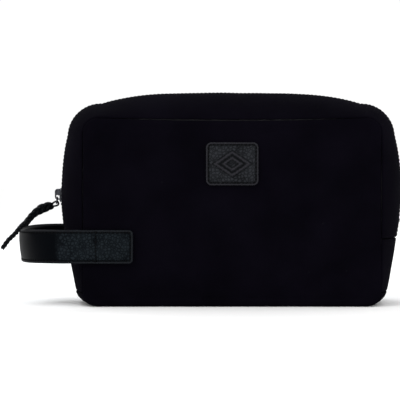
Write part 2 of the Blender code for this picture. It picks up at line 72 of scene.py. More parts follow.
camera = bpy.data.objects.new("studio_camera", bpy.data.cameras.new("studio_camera"))
camera.data.lens = VIEW_LENS
camera.location = (VIEW_ASIDE, panel_low.y - VIEW_DISTANCE, VIEW_HEIGHT)
camera.rotation_euler = (math.pi / 2 - VIEW_TILT, 0, 0)
scene.collection.objects.link(camera)
scene.camera = camera
scene.view_settings.view_transform = "Standard"

sky = bpy.data.worlds.new("white_sky")
sky.use_nodes = True
sky.node_tree.nodes["Background"].inputs["Color"].default_value = (1.0, 1.0, 1.0, 1)
sky.node_tree.nodes["Background"].inputs["Strength"].default_value = SKY_STRENGTH
scene.world = sky


def soft_light(name, place, size, watts, colour=(1, 1, 1)):
    light = bpy.data.lights.new(name, "AREA")
    light.shape = "RECTANGLE"
    light.size, light.size_y = size
    light.energy = watts
    light.color = colour
    lamp = bpy.data.objects.new(name, light)
    lamp.location = place
    lamp.rotation_euler = (LIGHTS_AIM - Vector(place)).to_track_quat("-Z", "Y").to_euler()
    scene.collection.objects.link(lamp)


soft_light("key_light", (-0.9, -1.1, 1.3), (0.9, 0.7), 9)
soft_light("fill_light", (1.3, -0.9, 0.7), (0.8, 0.8), 3)
soft_light("back_light", (-0.5, 1.2, 1.2), (0.9, 0.5), 8, (0.9, 0.95, 1.0))


def node(tree, kind, inputs=(), **settings):
    """A new node, with its settings, and its inputs set to values or linked to sockets."""
    made = tree.nodes.new(kind)
    for key, value in settings.items():
        setattr(made, key, value)
    for key, value in dict(inputs).items():
        if isinstance(value, bpy.types.NodeSocket):
            tree.links.new(value, made.inputs[key])
        else:
            made.inputs[key].default_value = value
    return made


def new_finish(name, colour, roughness, levels=()):
    """A material with one Principled shader, its tree and that shader."""
    finish = bpy.data.materials.new(name)
    finish.use_nodes = True
    shader = finish.node_tree.nodes["Principled BSDF"]
    shader.inputs["Base Color"].default_value = (*colour, 1)
    shader.inputs["Roughness"].default_value = roughness
    for key, value in dict(levels).items():
        shader.inputs[key].default_value = value
    return finish, finish.node_tree, shader


def colour_between(tree, share, dark, light):
    """A colour socket that runs from dark to light as share runs from 0 to 1."""
    ramp = node(tree, "ShaderNodeMix", {"Factor": share}, data_type="RGBA")
    ramp.inputs[6].default_value = (*dark, 1)
    ramp.inputs[7].default_value = (*light, 1)
    return ramp.outputs[2]


def value_between(tree, share, low, high):
    inputs = {"Value": share, "To Min": low, "To Max": high}
    return node(tree, "ShaderNodeMapRange", inputs).outputs["Result"]


def math_of(tree, operation, first, second=0.0, third=0.0):
    inputs = {0: first, 1: second, 2: third}
    return node(tree, "ShaderNodeMath", inputs, operation=operation).outputs[0]


def noise_of(tree, where, scale, detail):
    inputs = {"Vector": where, "Scale": scale, "Detail": detail}
    return node(tree, "ShaderNodeTexNoise", inputs).outputs["Fac"]


def own_place(tree):
    return node(tree, "ShaderNodeTexCoord").outputs["Object"]


def map_axes(tree):
    """The two sockets of a piece's own map: along it and across it, in metres."""
    place = node(tree, "ShaderNodeUVMap", uv_map="weave").outputs["UV"]
    split = node(tree, "ShaderNodeSeparateXYZ", {"Vector": place})
    return split.outputs["X"], split.outputs["Y"]


def wave_of(tree, run, length):
    """A wave between -1 and 1 that repeats over that length of a socket's value."""
    return math_of(tree, "SINE", math_of(tree, "MULTIPLY", run, 2 * math.pi / length))


def raise_bump(tree, shader, height, depth, strength=1.0, under=None):
    """Puts a bump of that depth in metres on the shader, over an earlier one if there is one."""
    inputs = {"Height": height, "Distance": depth, "Strength": strength}
    if under is not None:
        inputs["Normal"] = under
    bump = node(tree, "ShaderNodeBump", inputs)
    tree.links.new(bump.outputs["Normal"], shader.inputs["Normal"])
    return bump.outputs["Normal"]


def clouded_finish(name, dark, light, rough, cloud, bump=(), **levels):
    """A material whose colour and roughness drift with one noise, given as scale and detail,
    and whose bump, given as depth and strength, follows it too."""
    levels = {key.replace("_", " "): value for key, value in levels.items()}
    finish, tree, shader = new_finish(name, dark, rough[0], levels)
    drift = noise_of(tree, own_place(tree), *cloud)
    tree.links.new(colour_between(tree, drift, dark, light), shader.inputs["Base Color"])
    tree.links.new(value_between(tree, drift, *rough), shader.inputs["Roughness"])
    if bump:
        raise_bump(tree, shader, drift, *bump)
    return finish


def settle(piece, body, slot, *nodes):
    """Gives a piece its body and the plain parts it stands for; its slot is not used."""
    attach(piece, body)
    if nodes:
        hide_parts(*nodes)


floor_mesh = bpy.data.meshes.new("pale_floor")
floor_shape = bmesh.new()
bmesh.ops.create_circle(floor_shape, cap_ends=True, radius=12.0, segments=96)
floor_shape.to_mesh(floor_mesh)
floor_shape.free()
floor_mesh.materials.append(new_finish("pale_floor", (0.975, 0.975, 0.975), 0.9)[0])
floor = bpy.data.objects.new("pale_floor", floor_mesh)
floor.location.z = -FLOOR_DROP
scene.collection.objects.link(floor)


# --- Pull cord ---------------------------------------------------------------------------
# A waxed cord is doubled through the ring, plaited into a thick head that thins as it goes,
# and left as a loose laid tail that rests over the handle. Its end is melted round.
CORD_FIBRE = (0.0008, 0.0010, 0.0014)
CORD_LIGHT = (0.0055, 0.0065, 0.0080)
YARNS_ROUND = 3
YARN_TWIST = 5200.0
PLAIT_PITCH = 0.0170
TAIL_PITCH = 0.0100
TAIL_FROM = 0.034
TAIL_WHOLE = 0.042
STRAND_REACH = 0.62
STRAND_STATIONS = (0.0, 0.006, 0.010, 0.016, 0.024, TAIL_FROM, TAIL_WHOLE)
STRAND_SHARES = (0.57, 0.60, 0.67, 0.63, 0.58, 0.57, 0.53)
STRAND_SIDES = 10
RING_WIRE = 0.0011
LOOP_CORD = 0.0011
LOOP_STRAND = 0.0015
LOOP_CLEAR = 0.0003
LOOP_SPREAD = 1.15
SECTION_ROUND = 0.01
CORD_ROUTE = (
    (-0.0026, -0.0002, -0.0010, 0.0016),
    (-0.0033, -0.0003, -0.0012, 0.0022),
    (-0.0048, -0.0006, -0.0018, 0.0027),
    (-0.0072, -0.0014, -0.0026, 0.0030),
    (-0.0104, -0.0032, -0.0038, 0.0030),
    (-0.0136, -0.0062, -0.0056, 0.0027),
    (-0.0173, -0.0100, -0.0086, 0.0023),
    (-0.0202, -0.0150, -0.0123, 0.0022),
    (-0.0218, -0.0208, -0.0150, 0.0022),
    (-0.0223, -0.0258, -0.0155, 0.0021),
    (-0.0231, -0.0303, -0.0160, 0.0018),
    (-0.0248, -0.0351, -0.0180, 0.0017),
    (-0.0272, -0.0386, -0.0212, 0.0016),
    (-0.0298, -0.0405, -0.0240, 0.0016),
    (-0.0327, -0.0418, -0.0268, 0.0016),
    (-0.0352, -0.0425, -0.0303, 0.0016),
    (-0.0374, -0.0429, -0.0336, 0.0015),
)


def through(knots, steps):
    """Points on one smooth curve through the knots, each knot a row of numbers."""
    knots = np.array(knots, float)
    ends = (2 * knots[:1] - knots[1:2], knots, 2 * knots[-1:] - knots[-2:-1])
    padded = np.vstack(ends)
    line = []
    for a, b, c, d in zip(padded, padded[1:], padded[2:], padded[3:]):
        for t in np.arange(steps) / steps:
            bend = (2 * a - 5 * b + 4 * c - d) * t**2 + (3 * b - a - 3 * c + d) * t**3
            line.append((2 * b + (c - a) * t + bend) / 2)
    line.append(knots[-1])
    return np.array(line)


def lengths_along(line):
    steps = np.linalg.norm(np.diff(line, axis=0), axis=1)
    return np.concatenate([[0.0], np.cumsum(steps)])


def spaced_evenly(line, count):
    """The same line through evenly spaced points."""
    run = lengths_along(line)
    even = np.linspace(0, run[-1], count)
    return np.array([np.interp(even, run, line[:, axis]) for axis in range(line.shape[1])]).T


def unit(rows):
    return rows / np.linalg.norm(rows, axis=-1, keepdims=True)


def carried(line, first):
    """The tangents of a line, and normals carried along it without twist."""
    tangents = unit(np.gradient(line, axis=0))
    normals = [np.array(first, float)]
    for tangent in tangents:
        flat = normals[-1] - tangent * (normals[-1] @ tangent)
        normals.append(flat / np.linalg.norm(flat))
    return tangents, np.array(normals[1:])


def add_piece(name, points, faces, corner_uvs, finish, **marks):
    """A smooth mesh object with a UV map in metres and its marks as point attributes."""
    mesh = bpy.data.meshes.new(name)
    mesh.from_pydata([tuple(point) for point in points], [], faces)
    mesh.materials.append(finish)
    layer = mesh.uv_layers.new(name="weave")
    layer.data.foreach_set("uv", np.array(corner_uvs, np.float32).ravel())
    for mark, values in marks.items():
        attribute = mesh.attributes.new(mark, "FLOAT", "POINT")
        attribute.data.foreach_set("value", np.array(values, np.float32))
    mesh.shade_smooth()
    piece = bpy.data.objects.new(name, mesh)
    scene.collection.objects.link(piece)
    return piece


def grid_faces(rows, columns, closed=False):
    """Faces over points laid row by row, each row joined to its own start if closed."""
    faces = []
    for low in range(0, (rows - 1) * columns, columns):
        high = low + columns
        for column in range(columns if closed else columns - 1):
            after = (column + 1) % columns
            faces.append((low + column, low + after, high + after, high + column))
    return faces


def bar_parts(line, ups, half_wide, half_thick, power=0.5, sides=20):
    """A bar swept along a line. Its section is a soft rectangle whose half width and half
    thickness are given at each point, its thickness along the matching direction in ups."""
    line, ups = np.array(line, float), unit(np.array(ups, float))
    across = unit(np.cross(ups, unit(np.gradient(line, axis=0))))
    along = lengths_along(line)
    turns = np.linspace(0, 2 * math.pi, sides, endpoint=False)
    shape_wide = np.sign(np.cos(turns)) * np.abs(np.cos(turns)) ** power
    shape_thick = np.sign(np.sin(turns)) * np.abs(np.sin(turns)) ** power
    points, uvs = [], []
    for place, up, side, wide, thick in zip(line, ups, across, half_wide, half_thick):
        for a, b in zip(shape_wide * wide, shape_thick * thick):
            points.append(place + side * a + up * b)
    for here, after in zip(along, along[1:]):
        for k in range(sides):
            low, high = k / sides * SECTION_ROUND, (k + 1) / sides * SECTION_ROUND
            uvs += [(here, low), (here, high), (after, high), (after, low)]
    faces = grid_faces(len(line), sides, closed=True)
    for ring in (0, len(line) - 1):
        faces.append(tuple(ring * sides + k for k in range(sides)))
        uvs += [(along[ring], 0.0)] * sides
    return points, faces, uvs


def tube_parts(line, radii, first):
    """A round tube along a line. Its map runs in turns round it and metres along it."""
    tangents, normals = carried(line, first)
    sideways = np.cross(tangents, normals)
    points, faces, uvs = bar_parts(line, sideways, radii, radii, 1.0, STRAND_SIDES)
    return points, faces, [(low / SECTION_ROUND, here) for here, low in uvs]


def joined(parts):
    """Several swept parts as the points, faces and UVs of one mesh."""
    points, faces, uvs = [], [], []
    for more_points, more_faces, more_uvs in parts:
        faces += [tuple(corner + len(points) for corner in face) for face in more_faces]
        points += list(more_points)
        uvs += more_uvs
    return points, faces, uvs


def face_outwards(piece):
    """Turns every closed shell of a mesh so that its faces point out."""
    shape = bmesh.new()
    shape.from_mesh(piece.data)
    bmesh.ops.recalc_face_normals(shape, faces=shape.faces)
    shape.to_mesh(piece.data)
    shape.free()
    return piece


def solid_piece(name, parts, finish):
    return face_outwards(add_piece(name, *parts, finish))


def cord_finish(name):
    """Black waxed cord: fine yarns that wind round each strand, with a dull wax shine."""
    finish, tree, shader = new_finish(name, CORD_FIBRE, 0.5, {"Specular IOR Level": 0.04})
    round_it, along_it = map_axes(tree)
    turns = math_of(tree, "MULTIPLY", round_it, YARNS_ROUND * 2 * math.pi)
    rise = math_of(tree, "MULTIPLY", along_it, YARN_TWIST)
    ply = math_of(tree, "SINE", math_of(tree, "ADD", turns, rise))
    share = math_of(tree, "MULTIPLY_ADD", ply, 0.5, 0.5)
    colour = colour_between(tree, share, CORD_FIBRE, CORD_LIGHT)
    tree.links.new(colour, shader.inputs["Base Color"])
    raise_bump(tree, shader, ply, 0.00012, 0.8)
    return finish


cord_swing = Vector(joints["cord_swing"]["pos_m"])
route = through(CORD_ROUTE, 16)
cord_line = np.array(cord_swing) + route[:, :3]
cord_along = lengths_along(cord_line)
cord_tangents, cord_front = carried(cord_line, (0, -1, 0))
cord_side = np.cross(cord_tangents, cord_front)
in_tail = np.clip((cord_along - TAIL_FROM) / (TAIL_WHOLE - TAIL_FROM), 0, 1)
cord_pitch = np.interp(cord_along[1:], (TAIL_FROM, TAIL_WHOLE), (PLAIT_PITCH, TAIL_PITCH))
cord_phase = 2 * math.pi * np.concatenate([[0], np.cumsum(np.diff(cord_along) / cord_pitch)])
round_end = np.sqrt(np.clip((cord_along[-1] - cord_along) / 0.0012, 0.02, 1))
round_head = np.sqrt(np.clip(cord_along / 0.0010, 0.10, 1))
full = np.interp(cord_along, STRAND_STATIONS, STRAND_SHARES)
thick = route[:, 3] * full * round_end * round_head
reach = route[:, 3] * STRAND_REACH
strands = []
for strand in range(3):
    phase = cord_phase + strand * 2 * math.pi / 3
    deep = np.sin(2 * phase) * STRAND_REACH * (1 - in_tail) + np.cos(phase) * in_tail
    line = cord_line + cord_side * (reach * np.sin(phase))[:, None]
    line = line + cord_front * (reach * deep)[:, None]
    strands.append(tube_parts(line, thick, (0, -1, 0)))
black_cord = cord_finish("waxed_cord")
pull_cord = solid_piece("pull_cord_plait", joined(strands), black_cord)

head = np.array(CORD_ROUTE[0][:3])
toward_head = unit(np.array((head[0], 0, head[2])))
loop_up = np.array((-toward_head[2], 0, toward_head[0]))
wrap = RING_WIRE / 2 + LOOP_CORD / 2 + LOOP_CLEAR
wide_wrap = wrap * LOOP_SPREAD
loop_length = np.linalg.norm(head) + 0.0018
loop_knots = []
for turn in np.linspace(-math.pi / 2, math.pi / 2, 9):
    loop_knots.append(loop_up * wide_wrap * math.sin(turn) - toward_head * wrap * math.cos(turn))
loop_legs = {-1: [], 1: []}
for side, leg in loop_legs.items():
    for share in (0.35, 0.7, 1.0):
        spread = side * wide_wrap * (1 - 0.75 * share**2)
        leg.append(toward_head * loop_length * share + loop_up * spread)
loop_line = through([*loop_legs[-1][::-1], *loop_knots, *loop_legs[1]], 4) + np.array(cord_swing)
loop_parts = tube_parts(loop_line, [LOOP_STRAND / 2] * len(loop_line), (0, 1, 0))
cord_loop = solid_piece("pull_cord_loop", loop_parts, black_cord)
settle(pull_cord, "pull_cord", "cord", "cord_braid", "cord_tail")
settle(cord_loop, "pull_cord", "cord", "cord_loop")


# --- Base and lower ends -----------------------------------------------------------------
# The gusset is one band of black canvas that runs round the bag between the two panels.
# Its base and its two plain lower ends are single pieces, joined by seams that are turned in.
PANEL_WIDTH = panel_high.x - panel_low.x
PANEL_HEIGHT = panel_high.z
HALF_WIDTH = PANEL_WIDTH / 2
HALF_DEPTH = -panel_low.y
TOP_CORNER_R = 0.012
BASE_CORNER_R = 0.010
TOP_BULGE = 0.021
TOP_BULGE_PAST_SEAM = 0.014
SIDE_BULGE = 0.0196
SIDE_FOOT_BULGE = 0.005
SIDE_ARC_R = 0.176
WIDEST_Z = 0.086
CROSS_SEAM_Z = 0.050
BULGE_POWER = 2.2
TOP_SEAM_DIP = 0.0018
GUSSET_EDGE = 0.0484
STRIP_CLOTH = 0.0012
LINING = 0.0008
EDGE_FOLD = 0.0012
TOP_RUN = HALF_WIDTH - TOP_CORNER_R
CORNER_RUN = TOP_CORNER_R * math.pi / 2
SIDE_RUN = PANEL_HEIGHT - TOP_CORNER_R - BASE_CORNER_R
FOOT_RUN = BASE_CORNER_R * math.pi / 2
BASE_RUN = HALF_WIDTH - BASE_CORNER_R
HALF_ROUND = TOP_RUN + CORNER_RUN + SIDE_RUN + FOOT_RUN + BASE_RUN


def side_bulge(z):
    """How far the middle of the gusset stands out past the panel's side edge at height z."""
    if z >= CROSS_SEAM_Z:
        return SIDE_BULGE - SIDE_ARC_R + math.sqrt(SIDE_ARC_R**2 - (z - WIDEST_Z) ** 2)
    at_seam = side_bulge(CROSS_SEAM_Z)
    return SIDE_FOOT_BULGE + (at_seam - SIDE_FOOT_BULGE) * (max(z, 0) / CROSS_SEAM_Z) ** 0.75


def top_bulge(distance):
    return TOP_BULGE * (1 - (distance / (HALF_WIDTH + TOP_BULGE_PAST_SEAM)) ** 4)


def top_dip(distance):
    """How far the top seam is drawn down between its ends."""
    return TOP_SEAM_DIP * (1 - (distance / TOP_RUN) ** 2)


def outline(s):
    """The seam's point and the gusset's bulge there, s along the seam from the top's middle."""
    side = -1 if s < 0 else 1
    run = abs(s)
    if run <= TOP_RUN:
        dip = top_dip(run)
        return (side * run, PANEL_HEIGHT - dip), (0.0, top_bulge(run) + dip)
    run -= TOP_RUN
    if run <= CORNER_RUN:
        turn = run / TOP_CORNER_R
        share = run / CORNER_RUN
        bulge = top_bulge(TOP_RUN) * (1 - share) + side_bulge(PANEL_HEIGHT - TOP_CORNER_R) * share
        x = TOP_RUN + TOP_CORNER_R * math.sin(turn)
        z = PANEL_HEIGHT - TOP_CORNER_R * (1 - math.cos(turn))
        return (side * x, z), (side * bulge * math.sin(turn), bulge * math.cos(turn))
    run -= CORNER_RUN
    if run <= SIDE_RUN:
        z = PANEL_HEIGHT - TOP_CORNER_R - run
        return (side * HALF_WIDTH, z), (side * side_bulge(z), 0.0)
    run -= SIDE_RUN
    if run <= FOOT_RUN:
        turn = run / BASE_CORNER_R
        x = BASE_RUN + BASE_CORNER_R * math.cos(turn)
        z = BASE_CORNER_R * (1 - math.sin(turn))
        return (side * x, z), (side * side_bulge(BASE_CORNER_R) * (1 - (run / FOOT_RUN) ** 2), 0.0)
    run -= FOOT_RUN
    return (side * (BASE_RUN - run), 0.0), (0.0, 0.0)


def outer_surface(s, t):
    (x, z), (bulge_x, bulge_z) = outline(s)
    fullness = 1 - abs(t) ** BULGE_POWER
    return Vector((x + bulge_x * fullness, t * HALF_DEPTH, z + bulge_z * fullness))


def gusset_outward(s, t):
    step = 0.0004
    along = outer_surface(s + step, t) - outer_surface(s - step, t)
    across = outer_surface(s, t + step) - outer_surface(s, t - step)
    return along.cross(across).normalized()


def run_at_height(z):
    return TOP_RUN + CORNER_RUN + PANEL_HEIGHT - TOP_CORNER_R - z


def gusset_creases(s, t):
    """Soft hollows of the cloth band, with small puckers where it is sewn to the panels."""
    from_seam = (1 - abs(t)) * HALF_DEPTH
    hollow = noise.noise(Vector((s * 24, t * 1.3, 2.0))) * 0.0007
    fine = noise.noise(Vector((s * 70, t * 3.0, 9.0))) * 0.00025
    pucker = noise.noise(Vector((s * 190, 5.0 * (t > 0), 4.0))) * 0.00050
    open_cloth = min(1.0, from_seam / 0.012) * min(1.0, (abs(t) * HALF_DEPTH + 0.001) / 0.014)
    return (hollow + fine) * open_cloth + pucker * math.exp(-from_seam / 0.005)


def rolled(distance, radius):
    """How far a folded edge of that radius has turned away, at a distance from the edge."""
    if distance >= radius:
        return 0.0
    return radius - math.sqrt(max(0.0, radius**2 - (radius - max(distance, 0.0)) ** 2))


def stretch(low, high, step, turned_low=True, turned_high=True, fold=EDGE_FOLD):
    """Stations from low to high, closer together over the folded edges."""
    fine = fold * (1 - np.cos(np.linspace(0, math.pi / 2, 5)))
    start = low + fine if turned_low else np.array([low])
    end = (high - fine)[::-1] if turned_high else np.array([high])
    inside = max(2, round((end[0] - start[-1]) / step))
    return np.concatenate([start[:-1], np.linspace(start[-1], end[0], inside + 1), end[1:]])


def sew_sheet(name, us, vs, place, thickness, finish, closed=False, **marks):
    """A sheet of cloth or leather over a grid. place(u, v) gives a point of its outer face and
    its UV in metres; the sheet is as thick as given, towards the inside of the bag. A mark is
    a list that place fills, which becomes an attribute of that name."""
    grid = [place(u, v) for v in vs for u in us]
    faces = grid_faces(len(vs), len(us), closed)
    corner_uvs = [grid[corner][1] for face in faces for corner in face]
    piece = add_piece(name, [point for point, _ in grid], faces, corner_uvs, finish, **marks)
    middle = Vector((0, 0, PANEL_HEIGHT / 2))
    away = sum(face.normal.dot(face.center - middle) * face.area for face in piece.data.polygons)
    if away < 0:
        piece.data.flip_normals()
    wall = piece.modifiers.new("wall", "SOLIDIFY")
    wall.thickness = thickness
    wall.offset = -1
    made_plain(piece)
    return piece


def made_plain(piece):
    """Applies a piece's modifiers to its mesh."""
    ready = piece.evaluated_get(bpy.context.evaluated_depsgraph_get())
    mesh = bpy.data.meshes.new_from_object(ready)
    piece.modifiers.clear()
    piece.data = mesh


def gusset_place(inset, t_edges=(), s_edges=(), fold=EDGE_FOLD, creases=1.0):
    """A place function for a piece of the gusset, its listed edges folded under."""

    def place(s, t):
        edges = [abs(t - edge) * HALF_DEPTH for edge in t_edges] + [abs(s - e) for e in s_edges]
        depth = inset + sum(rolled(distance, fold) for distance in edges)
        out = gusset_creases(s, t) * creases - depth
        return outer_surface(s, t) + gusset_outward(s, t) * out, (s, t * HALF_DEPTH)

    return place


def canvas_finish(name, colour, lint, thread):
    """Matt canvas in a plain weave, with slubs, a dusty sheen and a few specks of lint."""
    levels = {"Specular IOR Level": 0.004, "Sheen Weight": 0.003, "Sheen Roughness": 0.45}
    finish, tree, shader = new_finish(name, colour, 0.92, levels)
    shader.inputs["Sheen Tint"].default_value = (0.75, 0.78, 1.0, 1)
    warp, weft = (wave_of(tree, run, 2 * thread) for run in map_axes(tree))
    weave = math_of(tree, "MULTIPLY", warp, weft)
    where = own_place(tree)
    cloud = noise_of(tree, where, 26, 4)
    share = math_of(tree, "MULTIPLY_ADD", weave, 0.22, cloud)
    dark, light = (tuple(gain * level for level in colour) for gain in (0.45, 2.1))
    woven = colour_between(tree, share, dark, light)
    specks = node(tree, "ShaderNodeTexVoronoi", {"Vector": where, "Scale": 60}).outputs
    ring = {"Value": specks["Distance"], "From Min": 0.030, "From Max": 0.018, "To Max": lint}
    speck = node(tree, "ShaderNodeMapRange", ring).outputs["Result"]
    dusted = node(tree, "ShaderNodeMix", {"Factor": speck, 6: woven}, data_type="RGBA")
    dusted.inputs[7].default_value = LINT_COLOUR
    tree.links.new(dusted.outputs[2], shader.inputs["Base Color"])
    tree.links.new(value_between(tree, cloud, 0.84, 0.98), shader.inputs["Roughness"])
    fibres = raise_bump(tree, shader, noise_of(tree, where, 900, 3), 0.00010, 0.5)
    raise_bump(tree, shader, weave, 0.00009, 0.7, fibres)
    return finish


CANVAS = (0.0017, 0.0014, 0.0027)
LINT_COLOUR = (0.012, 0.013, 0.016, 1)
canvas = canvas_finish("black_canvas", CANVAS, lint=0.5, thread=0.00055)

GUSSET_REACH = GUSSET_EDGE / HALF_DEPTH
across_gusset = stretch(-GUSSET_EDGE, GUSSET_EDGE, 0.0035) / HALF_DEPTH
whole_round = 2 * HALF_ROUND
foot_start = HALF_ROUND - BASE_RUN - FOOT_RUN + 0.0003


def base_place(s, t):
    back_round = s if s < HALF_ROUND else s - whole_round
    depth = rolled(min(s - foot_start, whole_round - foot_start - s), EDGE_FOLD)
    for edge in (-GUSSET_REACH, GUSSET_REACH):
        depth += rolled(abs(t - edge) * HALF_DEPTH, EDGE_FOLD)
    if abs(s - HALF_ROUND) < BASE_RUN:
        depth += 0.0004 * (1 - math.cos((s - HALF_ROUND) / 0.024)) * (1 - abs(t) ** 3) / 2
    point = outer_surface(back_round, t) - gusset_outward(back_round, t) * depth
    return point, (back_round, t * HALF_DEPTH)


base_steps = stretch(foot_start, whole_round - foot_start, 0.0030)
base = sew_sheet("base_canvas", base_steps, across_gusset, base_place, STRIP_CLOTH, canvas)
settle(base, "bag", "shell_cloth", "base_panel")

for name, side in (("left", -1), ("right", 1)):
    ends = sorted(side * run_at_height(z) for z in (CROSS_SEAM_Z - 0.0002, BASE_CORNER_R + 0.0001))
    end_place = gusset_place(0.0, (across_gusset[0], across_gusset[-1]), ends)
    steps = stretch(*ends, 0.0030)
    lower_end = sew_sheet(f"{name}_end_canvas", steps, across_gusset, end_place, STRIP_CLOTH, canvas)
    settle(lower_end, "bag", "shell_cloth", f"{name}_end_panel")


# --- Front and back panels ---------------------------------------------------------------
# Each large face is canvas over thin foam, sewn to the gusset by a seam turned to the inside.
# The padding crowns it a little, and the cloth is blown lightly against its sewn lines.
PANEL_CLOTH = 0.0015
PANEL_CROWN = 0.0022
PANEL_CORNER_R = 0.011
HALF_HEIGHT = PANEL_HEIGHT / 2
HANDLE_END = (-0.0890, 0.0445)
PATCH_CENTRE = (0.0, 0.106)
CLOTH_STEP = 0.0030
PANEL_FOLD = 0.0015
HELD_ROUND = 0.007


def inside_rounded(x, z, half_x, half_z, corner):
    """The distance in from the border of a rounded rectangle centred on the origin."""
    past_x = abs(x) - half_x + corner
    past_z = abs(z) - half_z + corner
    outside = math.hypot(max(past_x, 0.0), max(past_z, 0.0))
    return corner - outside - min(max(past_x, past_z), 0.0)


def corner_cut(z, half_z, corner):
    """How much shorter a row at height z is, each end, for the rounded corner."""
    past = max(0.0, abs(z) - half_z + corner)
    return corner - math.sqrt(max(0.0, corner**2 - past**2))


def blown_cloth(pinned):
    """Heights of a cloth the size of a panel, blown against its border and pinned areas."""
    columns = round(PANEL_WIDTH / CLOTH_STEP)
    rows = round(PANEL_HEIGHT / CLOTH_STEP)
    heights = np.zeros((rows + 1, columns + 1))
    xs = np.linspace(-HALF_WIDTH, HALF_WIDTH, columns + 1)
    zs = np.linspace(0, PANEL_HEIGHT, rows + 1)
    mesh = bpy.data.meshes.new("panel_cloth_trial")
    points = [(x, 0.0, z) for z in zs for x in xs]
    mesh.from_pydata(points, [], grid_faces(rows + 1, columns + 1))
    trial = bpy.data.objects.new("panel_cloth_trial", mesh)
    scene.collection.objects.link(trial)
    sewn = trial.vertex_groups.new(name="sewn")
    for index, (x, _, z) in enumerate(points):
        border = HALF_WIDTH - abs(x) < 1e-4 or HALF_HEIGHT - abs(z - HALF_HEIGHT) < 1e-4
        under = (abs(x - cx) < hx and abs(z - cz) < hz for (cx, cz), (hx, hz) in pinned)
        if border or any(under):
            sewn.add([index], 1.0, "REPLACE")
    cloth = trial.modifiers.new("cloth", "CLOTH")
    cloth.settings.quality = 6
    cloth.settings.mass = 0.15
    cloth.settings.tension_stiffness = 25
    cloth.settings.compression_stiffness = 25
    cloth.settings.shear_stiffness = 8
    cloth.settings.bending_stiffness = 0.35
    cloth.settings.shrink_min = -0.012
    cloth.settings.use_pressure = True
    cloth.settings.uniform_pressure_force = 1.2
    cloth.settings.vertex_group_mass = "sewn"
    cloth.settings.effector_weights.gravity = 0
    for step in range(1, 21):
        scene.frame_set(step)
    blown = trial.evaluated_get(bpy.context.evaluated_depsgraph_get()).to_mesh()
    places = np.array([vertex.co for vertex in blown.vertices])
    heights = -places[:, 1].reshape(rows + 1, columns + 1)
    bpy.data.objects.remove(trial)
    scene.frame_set(1)
    return heights


def creases_of(heights, cap=0.0009):
    """The creases of a blown cloth: its heights less their own running mean, capped."""
    smooth = heights.copy()
    for _ in range(60):
        padded = np.pad(smooth, 1, mode="edge")
        smooth = (padded[:-2, 1:-1] + padded[2:, 1:-1] + padded[1:-1, :-2] + padded[1:-1, 2:]) / 4
    return cap * np.tanh((heights - smooth) / cap)


def sampled(grid, x, z):
    row = min(max(z / PANEL_HEIGHT, 0.0), 1.0) * (grid.shape[0] - 1)
    column = min(max(x / PANEL_WIDTH + 0.5, 0.0), 1.0) * (grid.shape[1] - 1)
    r = min(int(row), grid.shape[0] - 2)
    c = min(int(column), grid.shape[1] - 2)
    low = grid[r, c] + (grid[r, c + 1] - grid[r, c]) * (column - c)
    high = grid[r + 1, c] + (grid[r + 1, c + 1] - grid[r + 1, c]) * (column - c)
    return low + (high - low) * (row - r)


def panel_rise(x, z):
    """How far the padded face stands proud of its seam, without its creases."""
    distance = inside_rounded(x, z - HALF_HEIGHT, HALF_WIDTH, HALF_HEIGHT, PANEL_CORNER_R)
    share = min(max(distance, 0.0) / 0.045, 1.0)
    return PANEL_CROWN * (1 - (1 - share) ** 2)


def held_down(x, z, pinned):
    """How firmly the cloth is held by what is sewn on it: 1 under the piece, 0 beyond it."""
    past = HELD_ROUND
    for (cx, cz), (hx, hz) in pinned:
        past = min(past, max(abs(x - cx) - hx, abs(z - cz) - hz, 0.0))
    return 1 - past / HELD_ROUND


def panel_place(side, creases, pinned):
    def place(x_share, z):
        reach = HALF_WIDTH - corner_cut(z - HALF_HEIGHT, HALF_HEIGHT, PANEL_CORNER_R)
        x = x_share * reach
        distance = inside_rounded(x, z - HALF_HEIGHT, HALF_WIDTH, HALF_HEIGHT, PANEL_CORNER_R)
        top = PANEL_HEIGHT - top_dip(min(abs(x), TOP_RUN))
        drawn = z * (1 - (1 - top / PANEL_HEIGHT) * (z / PANEL_HEIGHT) ** 8)
        pucker = noise.noise(Vector((x * 150, z * 150, 3.0 + side))) * 0.0005
        pucker *= math.exp(-max(distance, 0) / 0.006) * min(1.0, distance / 0.0012)
        free = 1 - held_down(x, z, pinned)
        out = panel_rise(x, z) + (sampled(creases, x, z) + pucker) * free
        out -= rolled(distance, PANEL_FOLD) + 0.0004 * math.exp(-(((z - 0.0062) / 0.0009) ** 2))
        drop = 0.0004 * (1 - min(1.0, distance / 0.004))
        return (x, side * (HALF_DEPTH - 0.0002 + out - drop), drawn), (x, z)

    return place


handle_pin = (HANDLE_END, (0.0145, 0.0125))
patch_pin = (PATCH_CENTRE, (0.0195, 0.0160))
corner_fine = 0.011 * (1 - np.cos(np.linspace(0.5, 1.5, 6)))
face_steps = stretch(0.0, PANEL_HEIGHT, 0.0022, fold=PANEL_FOLD)
face_steps = np.unique(np.concatenate([face_steps, corner_fine]))
face_steps = np.unique(np.concatenate([face_steps, PANEL_HEIGHT - corner_fine]))
side_steps = stretch(-HALF_WIDTH, HALF_WIDTH, 0.0022, fold=PANEL_FOLD) / HALF_WIDTH
for name, side, pinned in (("front", -1, (handle_pin, patch_pin)), ("back", 1, (handle_pin,))):
    face_place = panel_place(side, creases_of(blown_cloth(pinned)), pinned)
    panel = sew_sheet(
        f"{name}_panel_canvas", side_steps, face_steps, face_place, PANEL_CLOTH, canvas
    )
    settle(panel, "bag", "shell_cloth", f"{name}_panel")


